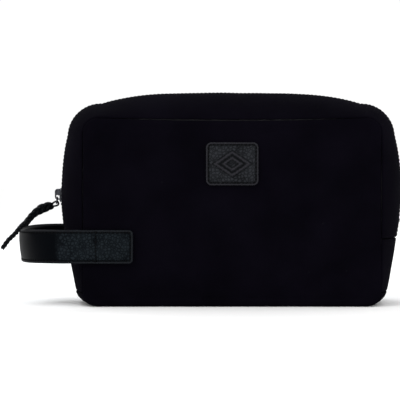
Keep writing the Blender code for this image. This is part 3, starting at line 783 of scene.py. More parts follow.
# --- Foam and base board -----------------------------------------------------------------
# Foam sheets stiffen the faces, and a board of sheet plastic keeps the base flat. All three
# lie between canvas and lining, cut 4 mm short of the seams.
foam_finish, foam_tree, foam_shader = new_finish("grey_foam", (0.045, 0.045, 0.047), 0.95)
cells = {"Vector": own_place(foam_tree), "Scale": 1400}
cells = node(foam_tree, "ShaderNodeTexVoronoi", cells).outputs["Distance"]
foam_colour = colour_between(foam_tree, cells, (0.02, 0.02, 0.021), (0.07, 0.07, 0.073))
foam_tree.links.new(foam_colour, foam_shader.inputs["Base Color"])
raise_bump(foam_tree, foam_shader, cells, 0.0002, 0.8)
BOARD_GREY = (0.04, 0.04, 0.042)
board_finish = clouded_finish(
    "board_plastic", BOARD_GREY, BOARD_GREY, (0.45, 0.75), (500, 4), (0.00008, 0.6)
)
for cad_node, finish, slot in (
    ("front_foam", foam_finish, "foam"),
    ("back_foam", foam_finish, "foam"),
    ("base_board", board_finish, "base_board"),
):
    layer = frame["nodes"][cad_node]
    layer.data.materials.clear()
    layer.data.materials.append(finish)


# --- Linings -----------------------------------------------------------------------------
# A thin dark grey nylon lines both faces, the base and the lower ends. It hangs a little
# loose, so it ripples between its seams.
LINING_FACE = 0.0441
LINING_TRIM = 0.004
LINING_CORNER_R = 0.008


def nylon_finish(name, dark, light):
    """Thin woven nylon in a fine twill, smoother and glossier than the canvas."""
    finish, tree, shader = new_finish(name, dark, 0.55, {"Specular IOR Level": 0.30})
    twill = wave_of(tree, math_of(tree, "ADD", *map_axes(tree)), 0.0009)
    cloud = noise_of(tree, own_place(tree), 45, 3)
    share = math_of(tree, "MULTIPLY_ADD", twill, 0.2, cloud)
    tree.links.new(colour_between(tree, share, dark, light), shader.inputs["Base Color"])
    tree.links.new(value_between(tree, cloud, 0.45, 0.70), shader.inputs["Roughness"])
    raise_bump(tree, shader, twill, 0.00005, 0.6)
    return finish


nylon = nylon_finish("grey_nylon", (0.014, 0.014, 0.016), (0.034, 0.034, 0.038))


def lining_ripple(x, z, seed):
    slow = noise.noise(Vector((x * 22, z * 30, seed)))
    quick = noise.noise(Vector((x * 60, z * 75, seed + 4)))
    return slow * 0.0006 + quick * 0.0003


def lining_place(side):
    half_x = HALF_WIDTH - LINING_TRIM
    half_z = HALF_HEIGHT - LINING_TRIM

    def place(x_share, z):
        x = x_share * (half_x - corner_cut(z - HALF_HEIGHT, half_z, LINING_CORNER_R))
        border = inside_rounded(x, z - HALF_HEIGHT, half_x, half_z, LINING_CORNER_R)
        slack = (abs(lining_ripple(x, z, side)) + 0.0001) * min(1.0, max(border, 0) / 0.01)
        return (x, side * (LINING_FACE + LINING - slack), z), (x, z)

    return place


base_lining_low, base_lining_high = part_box("base_lining")


def base_lining_place(x, y):
    edge = min(base_lining_high.x - abs(x), base_lining_high.y - abs(y))
    slack = abs(lining_ripple(x, y, 7.0)) * min(1.0, max(edge, 0) / 0.012)
    return (x, y, base_lining_low.z + slack), (x, y)


face_rows = stretch(LINING_TRIM, PANEL_HEIGHT - LINING_TRIM, 0.0035, fold=0.002)
end_columns = np.linspace(-GUSSET_EDGE, GUSSET_EDGE, 30) / HALF_DEPTH
linings = []
for name, side in (("front", -1), ("back", 1)):
    steps, side_place = (np.linspace(-1, 1, 56), face_rows), lining_place(side)
    linings.append((f"{name}_nylon_lining", f"{name}_lining", steps, side_place, LINING * 0.75))
base_steps = (
    np.linspace(base_lining_low.x, base_lining_high.x, 64),
    np.linspace(base_lining_low.y, base_lining_high.y, 30),
)
linings.append(("base_nylon_lining", "base_lining", base_steps, base_lining_place, LINING))
for name, side in (("left", -1), ("right", 1)):
    ends = sorted(side * run_at_height(z) for z in (CROSS_SEAM_Z - 0.0003, BASE_CORNER_R))
    steps = (np.linspace(*ends, 20), end_columns)
    end_place = gusset_place(STRIP_CLOTH + 0.0003)
    linings.append((f"{name}_end_nylon_lining", f"{name}_end_lining", steps, end_place, LINING))
for name, cad_node, steps, place, thickness in linings:
    settle(sew_sheet(name, *steps, place, thickness, nylon), "bag", "lining_cloth", cad_node)


# --- Seam bindings -----------------------------------------------------------------------
# Ribbed tape is folded over the raw edges of the front and rear seams, inside the bag, and
# sewn down along its inner edge all the way round.
BINDING_WIDTH = 0.0065
BINDING = 0.0016
BINDING_INSET = 0.0052
binding_far = LINING_FACE - 0.0006
TAPE_DARK = (0.008, 0.008, 0.009)
TAPE_LIGHT = (0.022, 0.022, 0.024)


def ribbed_finish(name, dark, light, rib, shine=0.12, depth=0.00015, zigzag=0.0):
    """Woven tape with ribs across it, which slant to and fro if a width of zigzag is given."""
    finish, tree, shader = new_finish(name, dark, 0.8, {"Specular IOR Level": shine})
    run, across = map_axes(tree)
    if zigzag:
        run = math_of(tree, "ADD", run, math_of(tree, "PINGPONG", across, zigzag))
    ribs = wave_of(tree, run, rib)
    share = math_of(tree, "MULTIPLY_ADD", ribs, 0.5, 0.5)
    tree.links.new(colour_between(tree, share, dark, light), shader.inputs["Base Color"])
    raise_bump(tree, shader, ribs, depth, 0.8)
    return finish


binding_tape = ribbed_finish("binding_tape", TAPE_DARK, TAPE_LIGHT, 0.0010)
for name, side in (("front", -1), ("rear", 1)):
    rows = side * stretch(binding_far - BINDING_WIDTH, binding_far, 0.0018, fold=0.0010)
    rows /= HALF_DEPTH
    binding = sew_sheet(
        f"{name}_seam_tape",
        np.linspace(-HALF_ROUND, HALF_ROUND, 300)[:-1],
        rows,
        gusset_place(BINDING_INSET, (rows[0], rows[-1]), fold=0.0008, creases=0.5),
        BINDING,
        binding_tape,
        closed=True,
    )
    settle(binding, "bag", "binding_tape", f"{name}_seam_binding")


# --- Slip pocket -------------------------------------------------------------------------
# An open pouch of lining nylon is sewn to the back lining by its sides and bottom, and its
# top edge is gathered into a bound elastic.
pocket_low, pocket_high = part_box("slip_pocket")
band_low, band_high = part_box("pocket_binding")
POCKET_CLOTH = 0.001
POCKET_SLACK = 0.0012
BAND_UV_STEP = 0.0008


def pocket_depth(z):
    share = (z - pocket_low.z) / (pocket_high.z - pocket_low.z)
    return POCKET_SLACK + (pocket_high.y - pocket_low.y - POCKET_SLACK) * math.sin(share * math.pi / 2)


def pocket_place(u, z):
    x = u * pocket_high.x
    inside = max(0.0, 1 - abs(u) ** 10)
    gather = 0.0005 * math.sin(x / 0.0021) * ((z - pocket_low.z) / 0.073) ** 3 * inside
    ripple = lining_ripple(x, z, 11.0) * inside
    y = pocket_high.y - pocket_depth(z) * inside**0.5 - gather - ripple * 0.6
    return (x, max(y, pocket_low.y - 0.0004), z), (x, z)


pocket = sew_sheet(
    "slip_pocket_nylon",
    np.sin(np.linspace(-math.pi / 2, math.pi / 2, 90)),
    np.linspace(pocket_low.z, pocket_high.z, 30),
    pocket_place,
    -POCKET_CLOTH * 0.6,
    nylon,
)
settle(pocket, "bag", "lining_cloth", "slip_pocket")

elastic = ribbed_finish("pocket_elastic", TAPE_DARK, TAPE_LIGHT, 0.0016)
band_centre = (band_low + band_high) / 2
band_size = band_high - band_low


def band_point(u, turn):
    """A place round the elastic's soft section, gathered in small puckers along it."""
    x = u * band_high.x
    gather = 1 + 0.06 * math.sin(x / 0.0016)
    y = band_centre.y + band_size.y / 2 * 0.92 * math.cos(turn) * gather
    rise = math.copysign(abs(math.sin(turn)) ** 0.45, math.sin(turn))
    return (x, y, band_centre.z + band_size.z / 2 * 0.97 * rise)


band_turns = np.linspace(0, 2 * math.pi, 25)[:-1]
band_columns = np.linspace(-1, 1, 260)
count = len(band_turns)
band_points = [band_point(u, turn) for u in band_columns for turn in band_turns]
band_faces = grid_faces(len(band_columns), count, closed=True)
band_uvs = []
for face in band_faces:
    i, k = divmod(face[0], count)
    here, after = band_columns[i] * band_high.x, band_columns[i + 1] * band_high.x
    low, high = k * BAND_UV_STEP, (k + 1) * BAND_UV_STEP
    band_uvs += [(here, low), (here, high), (after, high), (after, low)]
for start in (0, len(band_points) - count):
    band_faces.append(tuple(range(start, start + count)))
    band_uvs += [(0.0, 0.0)] * count
band = solid_piece("pocket_elastic_band", (band_points, band_faces, band_uvs), elastic)
settle(band, "bag", "binding_tape", "pocket_binding")


# --- Zip strips --------------------------------------------------------------------------
# A long strip of canvas lies each side of the zip, from one cross seam over the top to the
# other. Its zip edge is folded under and topstitched, its other edge sewn to the panel.
STRIP_TO_CENTRE = 0.0075
STRIP_LINING_TO_CENTRE = 0.009
TAPE_INSET = 0.0015
TAPE = 0.0006
STRIP_LINING_INSET = TAPE_INSET + TAPE + 0.0003
TOPSTITCH_IN = 0.0022
STITCH_PITCH = 0.0030
STITCH_LENGTH = 0.0022
THREAD_R = 0.00026
THREAD_LIFT = 0.00004
ZIP_PARTS = ("left", "top", "right")
zip_far = run_at_height(CROSS_SEAM_Z + 0.0003)
zip_ends = (-zip_far, zip_far)


def bends_with_flap(piece, name, layer=""):
    """Bakes the piece's placement into its mesh. It stands for the three lengths of a layer of
    the plain model, if one is named."""
    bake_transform(piece)
    if layer:
        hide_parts(*(f"{name}_{layer}_{part}" for part in ZIP_PARTS))


def new_tree(name, **sockets):
    """A geometry node tree with a mesh input and the named inputs, and its input sockets."""
    tree = bpy.data.node_groups.new(name, "GeometryNodeTree")
    tree.is_modifier = True
    listed = [("Geometry", "INPUT", "Geometry")]
    listed += [(key.replace("_", " "), "INPUT", kind) for key, kind in sockets.items()]
    for key, way, kind in listed + [("Geometry", "OUTPUT", "Geometry")]:
        tree.interface.new_socket(key, in_out=way, socket_type=f"NodeSocket{kind}")
    return tree, node(tree, "NodeGroupInput").outputs


def close_tree(tree, shape, finish):
    """Ends a tree: real meshes, shaded smooth, in their material."""
    real = node(tree, "GeometryNodeRealizeInstances", {"Geometry": shape}).outputs[0]
    soft = node(tree, "GeometryNodeSetShadeSmooth", {"Geometry": real}).outputs[0]
    dyed = node(tree, "GeometryNodeSetMaterial", {"Geometry": soft, "Material": finish})
    node(tree, "NodeGroupOutput", {"Geometry": dyed.outputs[0]})
    return tree


def named_vector(tree, mark):
    read = node(tree, "GeometryNodeInputNamedAttribute", {"Name": mark}, data_type="FLOAT_VECTOR")
    return read.outputs["Attribute"]


def thread_row_tree():
    """Stitches along a line: short round bars that follow it and stand on the surface."""
    tree, given = new_tree(
        "thread_row", Pitch="Float", Stitch="Float", Thread_radius="Float", Thread="Material"
    )
    seam = node(tree, "GeometryNodeMeshToCurve", {"Mesh": given["Geometry"]}).outputs["Curve"]
    every = {"Curve": seam, "Length": given["Pitch"]}
    holes = node(tree, "GeometryNodeCurveToPoints", every, mode="LENGTH").outputs
    ahead = {"Vector": holes["Tangent"]}
    along = node(tree, "FunctionNodeAlignRotationToVector", ahead, axis="X").outputs["Rotation"]
    standing = node(
        tree,
        "FunctionNodeAlignRotationToVector",
        {"Rotation": along, "Vector": named_vector(tree, "outward")},
        axis="Z",
        pivot_axis="X",
    )
    bar = node(tree, "GeometryNodeMeshUVSphere", {"Segments": 6, "Rings": 5, "Radius": 1.0})
    half = math_of(tree, "MULTIPLY", given["Stitch"], 0.5)
    radius = given["Thread radius"]
    size = node(tree, "ShaderNodeCombineXYZ", {"X": half, "Y": radius, "Z": radius})
    laid = {
        "Points": holes["Points"],
        "Instance": bar.outputs["Mesh"],
        "Rotation": standing.outputs["Rotation"],
        "Scale": size.outputs["Vector"],
    }
    stitches = node(tree, "GeometryNodeInstanceOnPoints", laid).outputs["Instances"]
    return close_tree(tree, stitches, given["Thread"])


def give_vectors(mesh, mark, vectors):
    attribute = mesh.attributes.new(mark, "FLOAT_VECTOR", "POINT")
    attribute.data.foreach_set("vector", np.array(vectors, np.float32).ravel())


def lay_lines(name, lines):
    """An object of open lines. Each line is a list of points with their outward directions."""
    points, edges, outs = [], [], []
    for line in lines:
        start = len(points)
        points += [tuple(point) for point, _ in line]
        outs += [tuple(out) for _, out in line]
        edges += [(start + i, start + i + 1) for i in range(len(line) - 1)]
    mesh = bpy.data.meshes.new(name)
    mesh.from_pydata(points, edges, [])
    give_vectors(mesh, "outward", outs)
    lines_object = bpy.data.objects.new(name, mesh)
    scene.collection.objects.link(lines_object)
    return lines_object


def grow(base_object, tree, **values):
    """Runs a node tree on an object with named input values, and keeps the plain mesh."""
    modifier = base_object.modifiers.new("grown", "NODES")
    modifier.node_group = tree
    for item in tree.interface.items_tree:
        if item.in_out == "INPUT" and item.name in values:
            modifier[item.identifier] = values[item.name]
    made_plain(base_object)
    return base_object


thread_finish = clouded_finish(
    "black_thread",
    (0.0006, 0.0006, 0.0009),
    (0.0026, 0.0026, 0.0032),
    (0.6, 0.6),
    (2600, 2),
    (0.0001, 0.6),
    Specular_IOR_Level=0.05,
)
sewing = thread_row_tree()


def sew(name, lines, pitch=STITCH_PITCH, stitch=STITCH_LENGTH, radius=THREAD_R):
    values = {"Pitch": pitch, "Stitch": stitch, "Thread radius": radius, "Thread": thread_finish}
    return grow(lay_lines(name, lines), sewing, **values)


def gusset_line(ss, ts, lift=0.0, creases=1.0):
    """A line on the gusset's surface, through paired values of s and t."""
    line = []
    for s, t in zip(ss, ts):
        out = gusset_outward(s, t)
        line.append((outer_surface(s, t) + out * (gusset_creases(s, t) * creases + lift), out))
    return line


corner_steps = TOP_RUN + np.linspace(0, CORNER_RUN, 14)
strip_steps = np.concatenate([stretch(*zip_ends, 0.0028), corner_steps, -corner_steps])
strip_steps = np.unique(strip_steps.round(6))
for name, side in (("front", -1), ("rear", 1)):
    rows = side * stretch(STRIP_TO_CENTRE, GUSSET_EDGE, 0.0026) / HALF_DEPTH
    strip_place = gusset_place(0.0, (rows[0], rows[-1]), zip_ends)
    strip = sew_sheet(f"{name}_zip_strip_canvas", strip_steps, rows, strip_place, STRIP_CLOTH, canvas)
    lining_rows = side * np.linspace(STRIP_LINING_TO_CENTRE, GUSSET_EDGE, 20) / HALF_DEPTH
    under_place = gusset_place(STRIP_LINING_INSET)
    strip_lining = sew_sheet(
        f"{name}_strip_nylon_lining", strip_steps, lining_rows, under_place, LINING, nylon
    )
    stitch_t = side * (STRIP_TO_CENTRE + TOPSTITCH_IN) / HALF_DEPTH
    along = np.linspace(zip_ends[0] + 0.002, zip_ends[1] - 0.002, 240)
    thread_line = gusset_line(along, [stitch_t] * len(along), THREAD_LIFT)
    topstitch = sew(f"{name}_strip_topstitch", [thread_line])
    bends_with_flap(strip, name, "zip_strip")
    bends_with_flap(strip_lining, name, "strip_lining")
    bends_with_flap(topstitch, name)


# --- Zip tapes ---------------------------------------------------------------------------
# Each half of the zip is a woven herringbone tape, sewn under a strip's folded edge.
TAPE_TO_CENTRE = 0.0036
TAPE_HALF_WIDTH = 0.019
tape_weave = ribbed_finish(
    "zip_tape_weave", (0.004, 0.004, 0.005), (0.014, 0.014, 0.016), 0.0008, 0.10, 0.0001, 0.0016
)
for name, side in (("front", -1), ("rear", 1)):
    rows = side * stretch(TAPE_TO_CENTRE, TAPE_HALF_WIDTH, 0.0022, fold=0.0004) / HALF_DEPTH
    tape_place = gusset_place(TAPE_INSET)
    tape = sew_sheet(f"{name}_zip_tape_woven", strip_steps, rows, tape_place, TAPE, tape_weave)
    bends_with_flap(tape, name, "zip_tape")


# --- Zip coil ----------------------------------------------------------------------------
# Each tape carries a coil of nylon filament, wound into flat loops whose heads lock between
# the loops of the other side. At the closed end the two rows part round the slider's post.
COIL_PITCH = 0.00135
COIL_FILAMENT_R = 0.00033
COIL_DEEP = 0.00085
COIL_CENTRE_DEPTH = 0.0011
COIL_FAR = 0.0037
COIL_PAST_CENTRE = 0.00045
STOP_TOP_Z = 0.0764
BOTTOM_STOP_TOP_Z = 0.0645
POINTS_PER_TURN = 12
COIL_PARTED = 0.0009
COIL_PARTED_OVER = 0.004
coil_from = -run_at_height(STOP_TOP_Z + 0.0006)
coil_to = run_at_height(BOTTOM_STOP_TOP_Z + 0.0006)


def coil_tree():
    """Winds a filament round a line: across and out of the surface, flattened, then tubed."""
    tree, given = new_tree(
        "wound_coil",
        Turns="Int",
        Half_width="Float",
        Half_depth="Float",
        Start_turn="Float",
        Filament_radius="Float",
        Nylon="Material",
    )
    core = node(tree, "GeometryNodeMeshToCurve", {"Mesh": given["Geometry"]}).outputs["Curve"]
    fine = {"Curve": core, "Count": math_of(tree, "MULTIPLY", given["Turns"], POINTS_PER_TURN)}
    fine = node(tree, "GeometryNodeResampleCurve", fine, mode="COUNT").outputs["Curve"]
    index = node(tree, "GeometryNodeInputIndex").outputs["Index"]
    turn_each = 2 * math.pi / POINTS_PER_TURN
    phase = math_of(tree, "MULTIPLY_ADD", index, turn_each, given["Start turn"])
    moves = {}
    for key, mark, operation, reach in (
        (0, "across", "COSINE", "Half width"),
        (1, "outward", "SINE", "Half depth"),
    ):
        step = math_of(tree, "MULTIPLY", math_of(tree, operation, phase), given[reach])
        swing = {0: named_vector(tree, mark), "Scale": step}
        moves[key] = node(tree, "ShaderNodeVectorMath", swing, operation="SCALE").outputs[0]
    move = node(tree, "ShaderNodeVectorMath", moves, operation="ADD").outputs[0]
    wound = node(tree, "GeometryNodeSetPosition", {"Geometry": fine, "Offset": move}).outputs[0]
    ring = {"Resolution": 6, "Radius": given["Filament radius"]}
    ring = node(tree, "GeometryNodeCurvePrimitiveCircle", ring).outputs["Curve"]
    tube = {"Curve": wound, "Profile Curve": ring, "Fill Caps": True}
    tube = node(tree, "GeometryNodeCurveToMesh", tube).outputs["Mesh"]
    return close_tree(tree, tube, given["Nylon"])


filament_finish = clouded_finish(
    "coil_nylon",
    (0.005, 0.005, 0.006),
    (0.014, 0.014, 0.016),
    (0.22, 0.5),
    (700, 4),
    Specular_IOR_Level=0.4,
)
winding = coil_tree()
coil_half = (COIL_FAR + COIL_PAST_CENTRE) / 2 - COIL_FILAMENT_R / 2
coil_turns = round((coil_to - coil_from) / COIL_PITCH)
for name, side in (("front", -1), ("rear", 1)):
    cores = np.linspace(coil_from, coil_to, 300)
    centre_y = side * (COIL_FAR - COIL_PAST_CENTRE) / 2
    line = []
    for s in cores:
        parted = side * COIL_PARTED * max(0.0, 1 - (s - coil_from) / COIL_PARTED_OVER)
        t = (centre_y + parted) / HALF_DEPTH
        out = gusset_outward(s, t)
        lift = gusset_creases(s, t) - COIL_CENTRE_DEPTH
        line.append((outer_surface(s, t) + out * lift, out))
    coil = lay_lines(f"{name}_zip_coil_wound", [line])
    give_vectors(coil.data, "across", [(0, side, 0)] * len(line))
    wind = {
        "Turns": coil_turns,
        "Half width": coil_half,
        "Half depth": COIL_DEEP,
        "Start turn": 0.0 if side < 0 else math.pi,
        "Filament radius": COIL_FILAMENT_R,
        "Nylon": filament_finish,
    }
    face_outwards(grow(coil, winding, **wind))
    bends_with_flap(coil, name, "zip_coil")


# --- Stops and end tabs ------------------------------------------------------------------
# Two small metal stops are crimped on the coils' upper ends and one wider stop joins the
# lower ends. Beyond them a folded tab of canvas is sewn over the ends of the tapes.
STOP_LENGTH = 0.0022
BOTTOM_STOP_LENGTH = 0.0030
STOP_HALF_THICK = 0.0019
COIL_SLOT = 0.0022
STOP_SECTION = 0.45
TAB_HALF_WIDTH = 0.0072
TAB_FOLD = 0.0007
TAB_STITCH_IN = 0.0020


def gunmetal_finish(name, dark, light):
    """Dark nickel plate: soft scratches, and a dull film that varies over the surface."""
    finish, tree, shader = new_finish(name, dark, 0.3, {"Metallic": 1.0})
    where = node(tree, "ShaderNodeTexCoord").outputs["Object"]
    film = noise_of(tree, where, 420, 5)
    tree.links.new(colour_between(tree, film, dark, light), shader.inputs["Base Color"])
    tree.links.new(value_between(tree, film, 0.14, 0.34), shader.inputs["Roughness"])
    raise_bump(tree, shader, noise_of(tree, where, 3500, 2), 0.00003, 0.5)
    return finish


gunmetal = gunmetal_finish("gunmetal_plate", (0.012, 0.013, 0.016), (0.10, 0.104, 0.116))


def rounded_ends(count, length, radius):
    """Stations over a length, close together at its ends, and the fullness at each."""
    turn = np.linspace(0, math.pi / 2, 5)
    start = radius * (1 - np.cos(turn))
    middle = np.linspace(radius, length - radius, count)[1:-1]
    stations = np.concatenate([start, middle, (length - start)[::-1]])
    edge = np.minimum(stations, length - stations).clip(0, radius)
    lost = 1 - np.sqrt(1 - (1 - edge / radius) ** 2)
    return stations, lost * radius


def stop_clamp(name, side_run, y_low, y_high, length, cad_node):
    """A metal clamp across a row of coil, with a crimped waist."""
    stations, lost = rounded_ends(9, y_high - y_low, 0.0006)
    ys = y_low + stations
    ups = [gusset_outward(side_run, y / HALF_DEPTH) for y in ys]
    line = [outer_surface(side_run, y / HALF_DEPTH) - up * COIL_CENTRE_DEPTH for y, up in zip(ys, ups)]
    share = (ys - (y_low + y_high) / 2) / (y_high - y_low) * 2
    waist = 1 - 0.16 * np.exp(-((share / 0.3) ** 2))
    wide = (length / 2 - lost) * (1 + 0.05 * share**2)
    parts = bar_parts(line, ups, wide, (STOP_HALF_THICK - lost) * waist, STOP_SECTION)
    settle(solid_piece(name, parts, gunmetal), "bag", "gunmetal", cad_node)


coil_outside = COIL_FAR + 0.0002
top_stop_run = -run_at_height(STOP_TOP_Z + 0.0001 - STOP_LENGTH / 2)
for name, side in (("front", -1), ("rear", 1)):
    reach = sorted((side * COIL_SLOT / 2, side * coil_outside))
    stop_clamp(f"{name}_top_stop_clamp", top_stop_run, *reach, STOP_LENGTH, f"{name}_top_stop")
bottom_run = run_at_height(BOTTOM_STOP_TOP_Z - BOTTOM_STOP_LENGTH / 2)
reach = (-coil_outside, coil_outside)
stop_clamp("bottom_stop_clamp", bottom_run, *reach, BOTTOM_STOP_LENGTH, "bottom_stop")

for name, side in (("left", -1), ("right", 1)):
    tab_low, tab_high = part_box(f"{name}_zip_tab")
    ends = sorted(side * run_at_height(z) for z in (tab_high.z, tab_low.z))
    rows = stretch(-TAB_HALF_WIDTH, TAB_HALF_WIDTH, 0.0014, fold=TAB_FOLD) / HALF_DEPTH
    steps = stretch(*ends, 0.0016, fold=TAB_FOLD)
    tab_place = gusset_place(0.0, (rows[0], rows[-1]), ends, fold=TAB_FOLD)
    tab = sew_sheet(f"{name}_zip_tab_canvas", steps, rows, tab_place, STRIP_CLOTH, canvas)
    low, high = ends[0] + TAB_STITCH_IN, ends[1] - TAB_STITCH_IN
    across = TAB_HALF_WIDTH - TAB_STITCH_IN
    corners = [(low, -across), (high, -across), (high, across), (low, across)]
    rows_of_thread = []
    for (s1, y1), (s2, y2) in zip(corners, corners[1:] + corners[:1]):
        shares = np.linspace(0, 1, 12)
        ts = (y1 + (y2 - y1) * shares) / HALF_DEPTH
        rows_of_thread.append(gusset_line(s1 + (s2 - s1) * shares, ts, THREAD_LIFT))
    tab_thread = sew(f"{name}_tab_stitching", rows_of_thread, pitch=0.0024, stitch=0.0018)
    settle(tab, "bag", "shell_cloth", f"{name}_zip_tab")
    settle(tab_thread, "bag", "shell_cloth")


# --- Slider ------------------------------------------------------------------------------
# A die-cast slider straddles the coils: an upper and a lower plate joined by a post between
# the rows, with lips along the sides. On it stands a cast crown, an arched bar with a web
# and a thick foot behind it, and the ring hangs in the open end of the arch.
SLIDER_REST_Z = 0.083
SLIDER_LENGTH = 0.0120
PLATE_LENGTH = 0.0108
SLIDER_HALF_WIDTH = 0.0052
UPPER_PLATE = (-0.0015, -0.0001)
LOWER_PLATE = (0.0034, 0.0048)
LIP_UPPER = (-0.0008, 0.0011)
LIP_LOWER = (0.0027, 0.0042)
CROWN_ARCH_HALF = 0.0037
CROWN_ARCH_TOP = -0.0047
CROWN_BEND_R = 0.0017
CROWN_FOOT = -0.0011
WEB_FOOT = -0.0012
LIP_HALF = 0.0005
LIP_FROM_EDGE = 0.00052
POST_HALF = (0.0013, 0.0007)
POST_ALONG = -0.0044
travel = Vector(joints["slider_travel"]["pos_m"])
slider_turn = math.asin((SLIDER_REST_Z - travel.z) / SIDE_ARC_R)
slider_out = Vector((-math.cos(slider_turn), 0, math.sin(slider_turn)))
slider_up = Vector((math.sin(slider_turn), 0, math.cos(slider_turn)))
slider_place = travel + slider_out * SIDE_ARC_R


def on_slider(depth, y, along):
    """A place on the slider: depth into the bag, y across the zip, and along the zip."""
    return slider_place - slider_out * depth + slider_up * along + Vector((0, y, 0))


def plate_half_width(along):
    """The plate's outline: broad shoulders over the throat, drawn in to a narrower tail."""
    share = (along + SLIDER_LENGTH / 2) / SLIDER_LENGTH
    return SLIDER_HALF_WIDTH * (1 - 0.20 * max(0.0, (share - 0.35) / 0.65) ** 1.5)


def slider_bar(depths, y_of, half_wide_of, bevel, power=0.4, nose=0.0):
    """A plate or lip of the slider, swept along the zip with rounded ends. Its outer face falls
    by nose towards the leading end."""
    stations, lost = rounded_ends(12, PLATE_LENGTH, bevel)
    alongs = stations - SLIDER_LENGTH / 2
    middle = sum(depths) / 2
    thick = (depths[1] - depths[0]) / 2
    falls = [nose * (max(0.0, a) / (PLATE_LENGTH / 2)) ** 2 / 2 for a in alongs]
    line = [on_slider(middle + fall, y_of(a), a) for a, fall in zip(alongs, falls)]
    wide = [half_wide_of(a) - loss for a, loss in zip(alongs, lost)]
    thicks = [max(thick - fall - loss * 0.6, thick * 0.25) for fall, loss in zip(falls, lost)]
    return bar_parts(line, [slider_out] * len(line), wide, thicks, power, 28)


slider_parts = [
    slider_bar(UPPER_PLATE, lambda a: 0.0, plate_half_width, 0.0016, 0.22, 0.0009),
    slider_bar(LOWER_PLATE, lambda a: 0.0, plate_half_width, 0.0016, 0.22),
]
for side in (-1, 1):
    for depths in (LIP_UPPER, LIP_LOWER):
        edge = lambda a, side=side: side * (plate_half_width(a) - LIP_FROM_EDGE)
        slider_parts.append(slider_bar(depths, edge, lambda a: LIP_HALF, 0.0008, 0.6))
post_line = [on_slider(depth, 0, POST_ALONG) for depth in np.linspace(-0.0008, 0.0042, 9)]
post_size = ([half] * len(post_line) for half in POST_HALF)
slider_parts.append(bar_parts(post_line, [(0, 1, 0)] * len(post_line), *post_size, 0.7))
slider = solid_piece("zip_slider", joined(slider_parts), gunmetal)
settle(slider, "slider", "gunmetal", "slider_body")

arch = [(CROWN_FOOT, -CROWN_ARCH_HALF, 0.0)]
for corner in (-1, 1):
    for turn in np.linspace(0, math.pi / 2, 9)[:: -corner]:
        depth = CROWN_ARCH_TOP + CROWN_BEND_R * (1 - math.sin(turn))
        along = corner * (CROWN_ARCH_HALF - CROWN_BEND_R * (1 - math.cos(turn)))
        arch.append((depth, along, 0.0))
arch.append((CROWN_FOOT, CROWN_ARCH_HALF, 0.0))
arch = through(arch, 3)
arch_run = lengths_along(arch) / lengths_along(arch)[-1]
arch_line = [on_slider(depth, 0, along) for depth, along, _ in arch]
arch_tangents = unit(np.gradient(np.array(arch_line), axis=0))
arch_ups = np.cross(arch_tangents, np.array([0.0, 1.0, 0.0]))
arch_wide = 0.00125 + 0.00035 * np.abs(2 * arch_run - 1) ** 4
crown_parts = [bar_parts(arch_line, arch_ups, arch_wide, [0.00062] * len(arch), 0.55)]
for top, half_wide, ends in (
    (CROWN_ARCH_TOP, 0.0005, (-0.0006, CROWN_ARCH_HALF)),
    (-0.0032, 0.0016, (-0.0010, CROWN_ARCH_HALF - 0.0003)),
):
    stations, lost = rounded_ends(8, ends[1] - ends[0], 0.0007)
    line = [on_slider((top + WEB_FOOT) / 2, 0, ends[0] + station) for station in stations]
    halves = (half_wide - lost * 0.3, (WEB_FOOT - top) / 2 - lost)
    crown_parts.append(bar_parts(line, [slider_out] * len(line), *halves, 0.4))
crown = solid_piece("zip_slider_crown", joined(crown_parts), gunmetal)
settle(crown, "slider", "gunmetal", "slider_crown")


# --- Pull ring ---------------------------------------------------------------------------
# A small rectangle of round wire, its corners bent and its ends brazed, hangs from the crown
# and carries the cord.
RING_HALF_WIDTH = 0.0024
RING_CORNER_R = 0.0012
RING_POINTS = 73
ring_swing = Vector(joints["ring_swing"]["pos_m"])
ring_down = (cord_swing - ring_swing).normalized()
ring_length = (cord_swing - ring_swing).length
ring_line = []
for corner in range(4):
    across = (RING_HALF_WIDTH - RING_CORNER_R) * (1 if corner in (0, 3) else -1)
    along = ring_length - RING_CORNER_R if corner in (0, 1) else RING_CORNER_R
    for turn in np.linspace(corner, corner + 1, 9) * math.pi / 2:
        reach = across + RING_CORNER_R * math.cos(turn)
        drop = along + RING_CORNER_R * math.sin(turn)
        ring_line.append(ring_swing + Vector((0, reach, 0)) + ring_down * drop)

ring_round = spaced_evenly(np.array(ring_line + ring_line[:1]), RING_POINTS)
ring_ups = [ring_down.cross(Vector((0, 1, 0)))] * RING_POINTS
ring_wire = [RING_WIRE / 2] * RING_POINTS
ring_parts = bar_parts(ring_round, ring_ups, ring_wire, ring_wire, 1.0, 14)
settle(solid_piece("pull_ring_wire", ring_parts, gunmetal), "ring", "gunmetal", "pull_ring")


# --- Handle ------------------------------------------------------------------------------
# A strap of two plies of pebbled leather loops round the left end. Its edges are turned and
# stitched, and its ends are sewn flat to the two panels, with a second row near the fold.
STRAP_Z = 0.0320
STRAP_WIDTH = 0.0250
STRAP_MIDDLE_Z = STRAP_Z + STRAP_WIDTH / 2
STRAP_END_X = -0.0735
STRAP_SEWN_X = -0.1013
STRAP_BEND_X = -0.1270
STRAP_REACH = 0.0353
STRAP_CORNER_R = 0.0032
INNER_PLY = 0.0014
OUTER_PLY = 0.0016
PLY_GAP = 0.0003
STRAP_STITCH_IN = 0.0021
INNER_TRIM = 0.0006
BEND_DRAWN_IN = (0.0043, 0.0023)
BACK_SEWN_HIGHER = 0.0020
# Past this x the strap's bend is smooth, and its colour is painted dark as shade.
SMOOTH_SHADE_FROM_X = -0.1275
# Colour of the painted shade in the stitch furrows and beside the stamped lines.
PAINTED_FURROW_SHADE = (0.0010, 0.0012, 0.0018)
FURROW_WIDTH = 0.0006
RIM_WIDTH = 0.00045
RIM_HEIGHT = 0.00020
FURROW_DEPTH = 0.00045
LEATHER_FOLD = 0.0007
LEATHER_THREAD_R = 0.00042
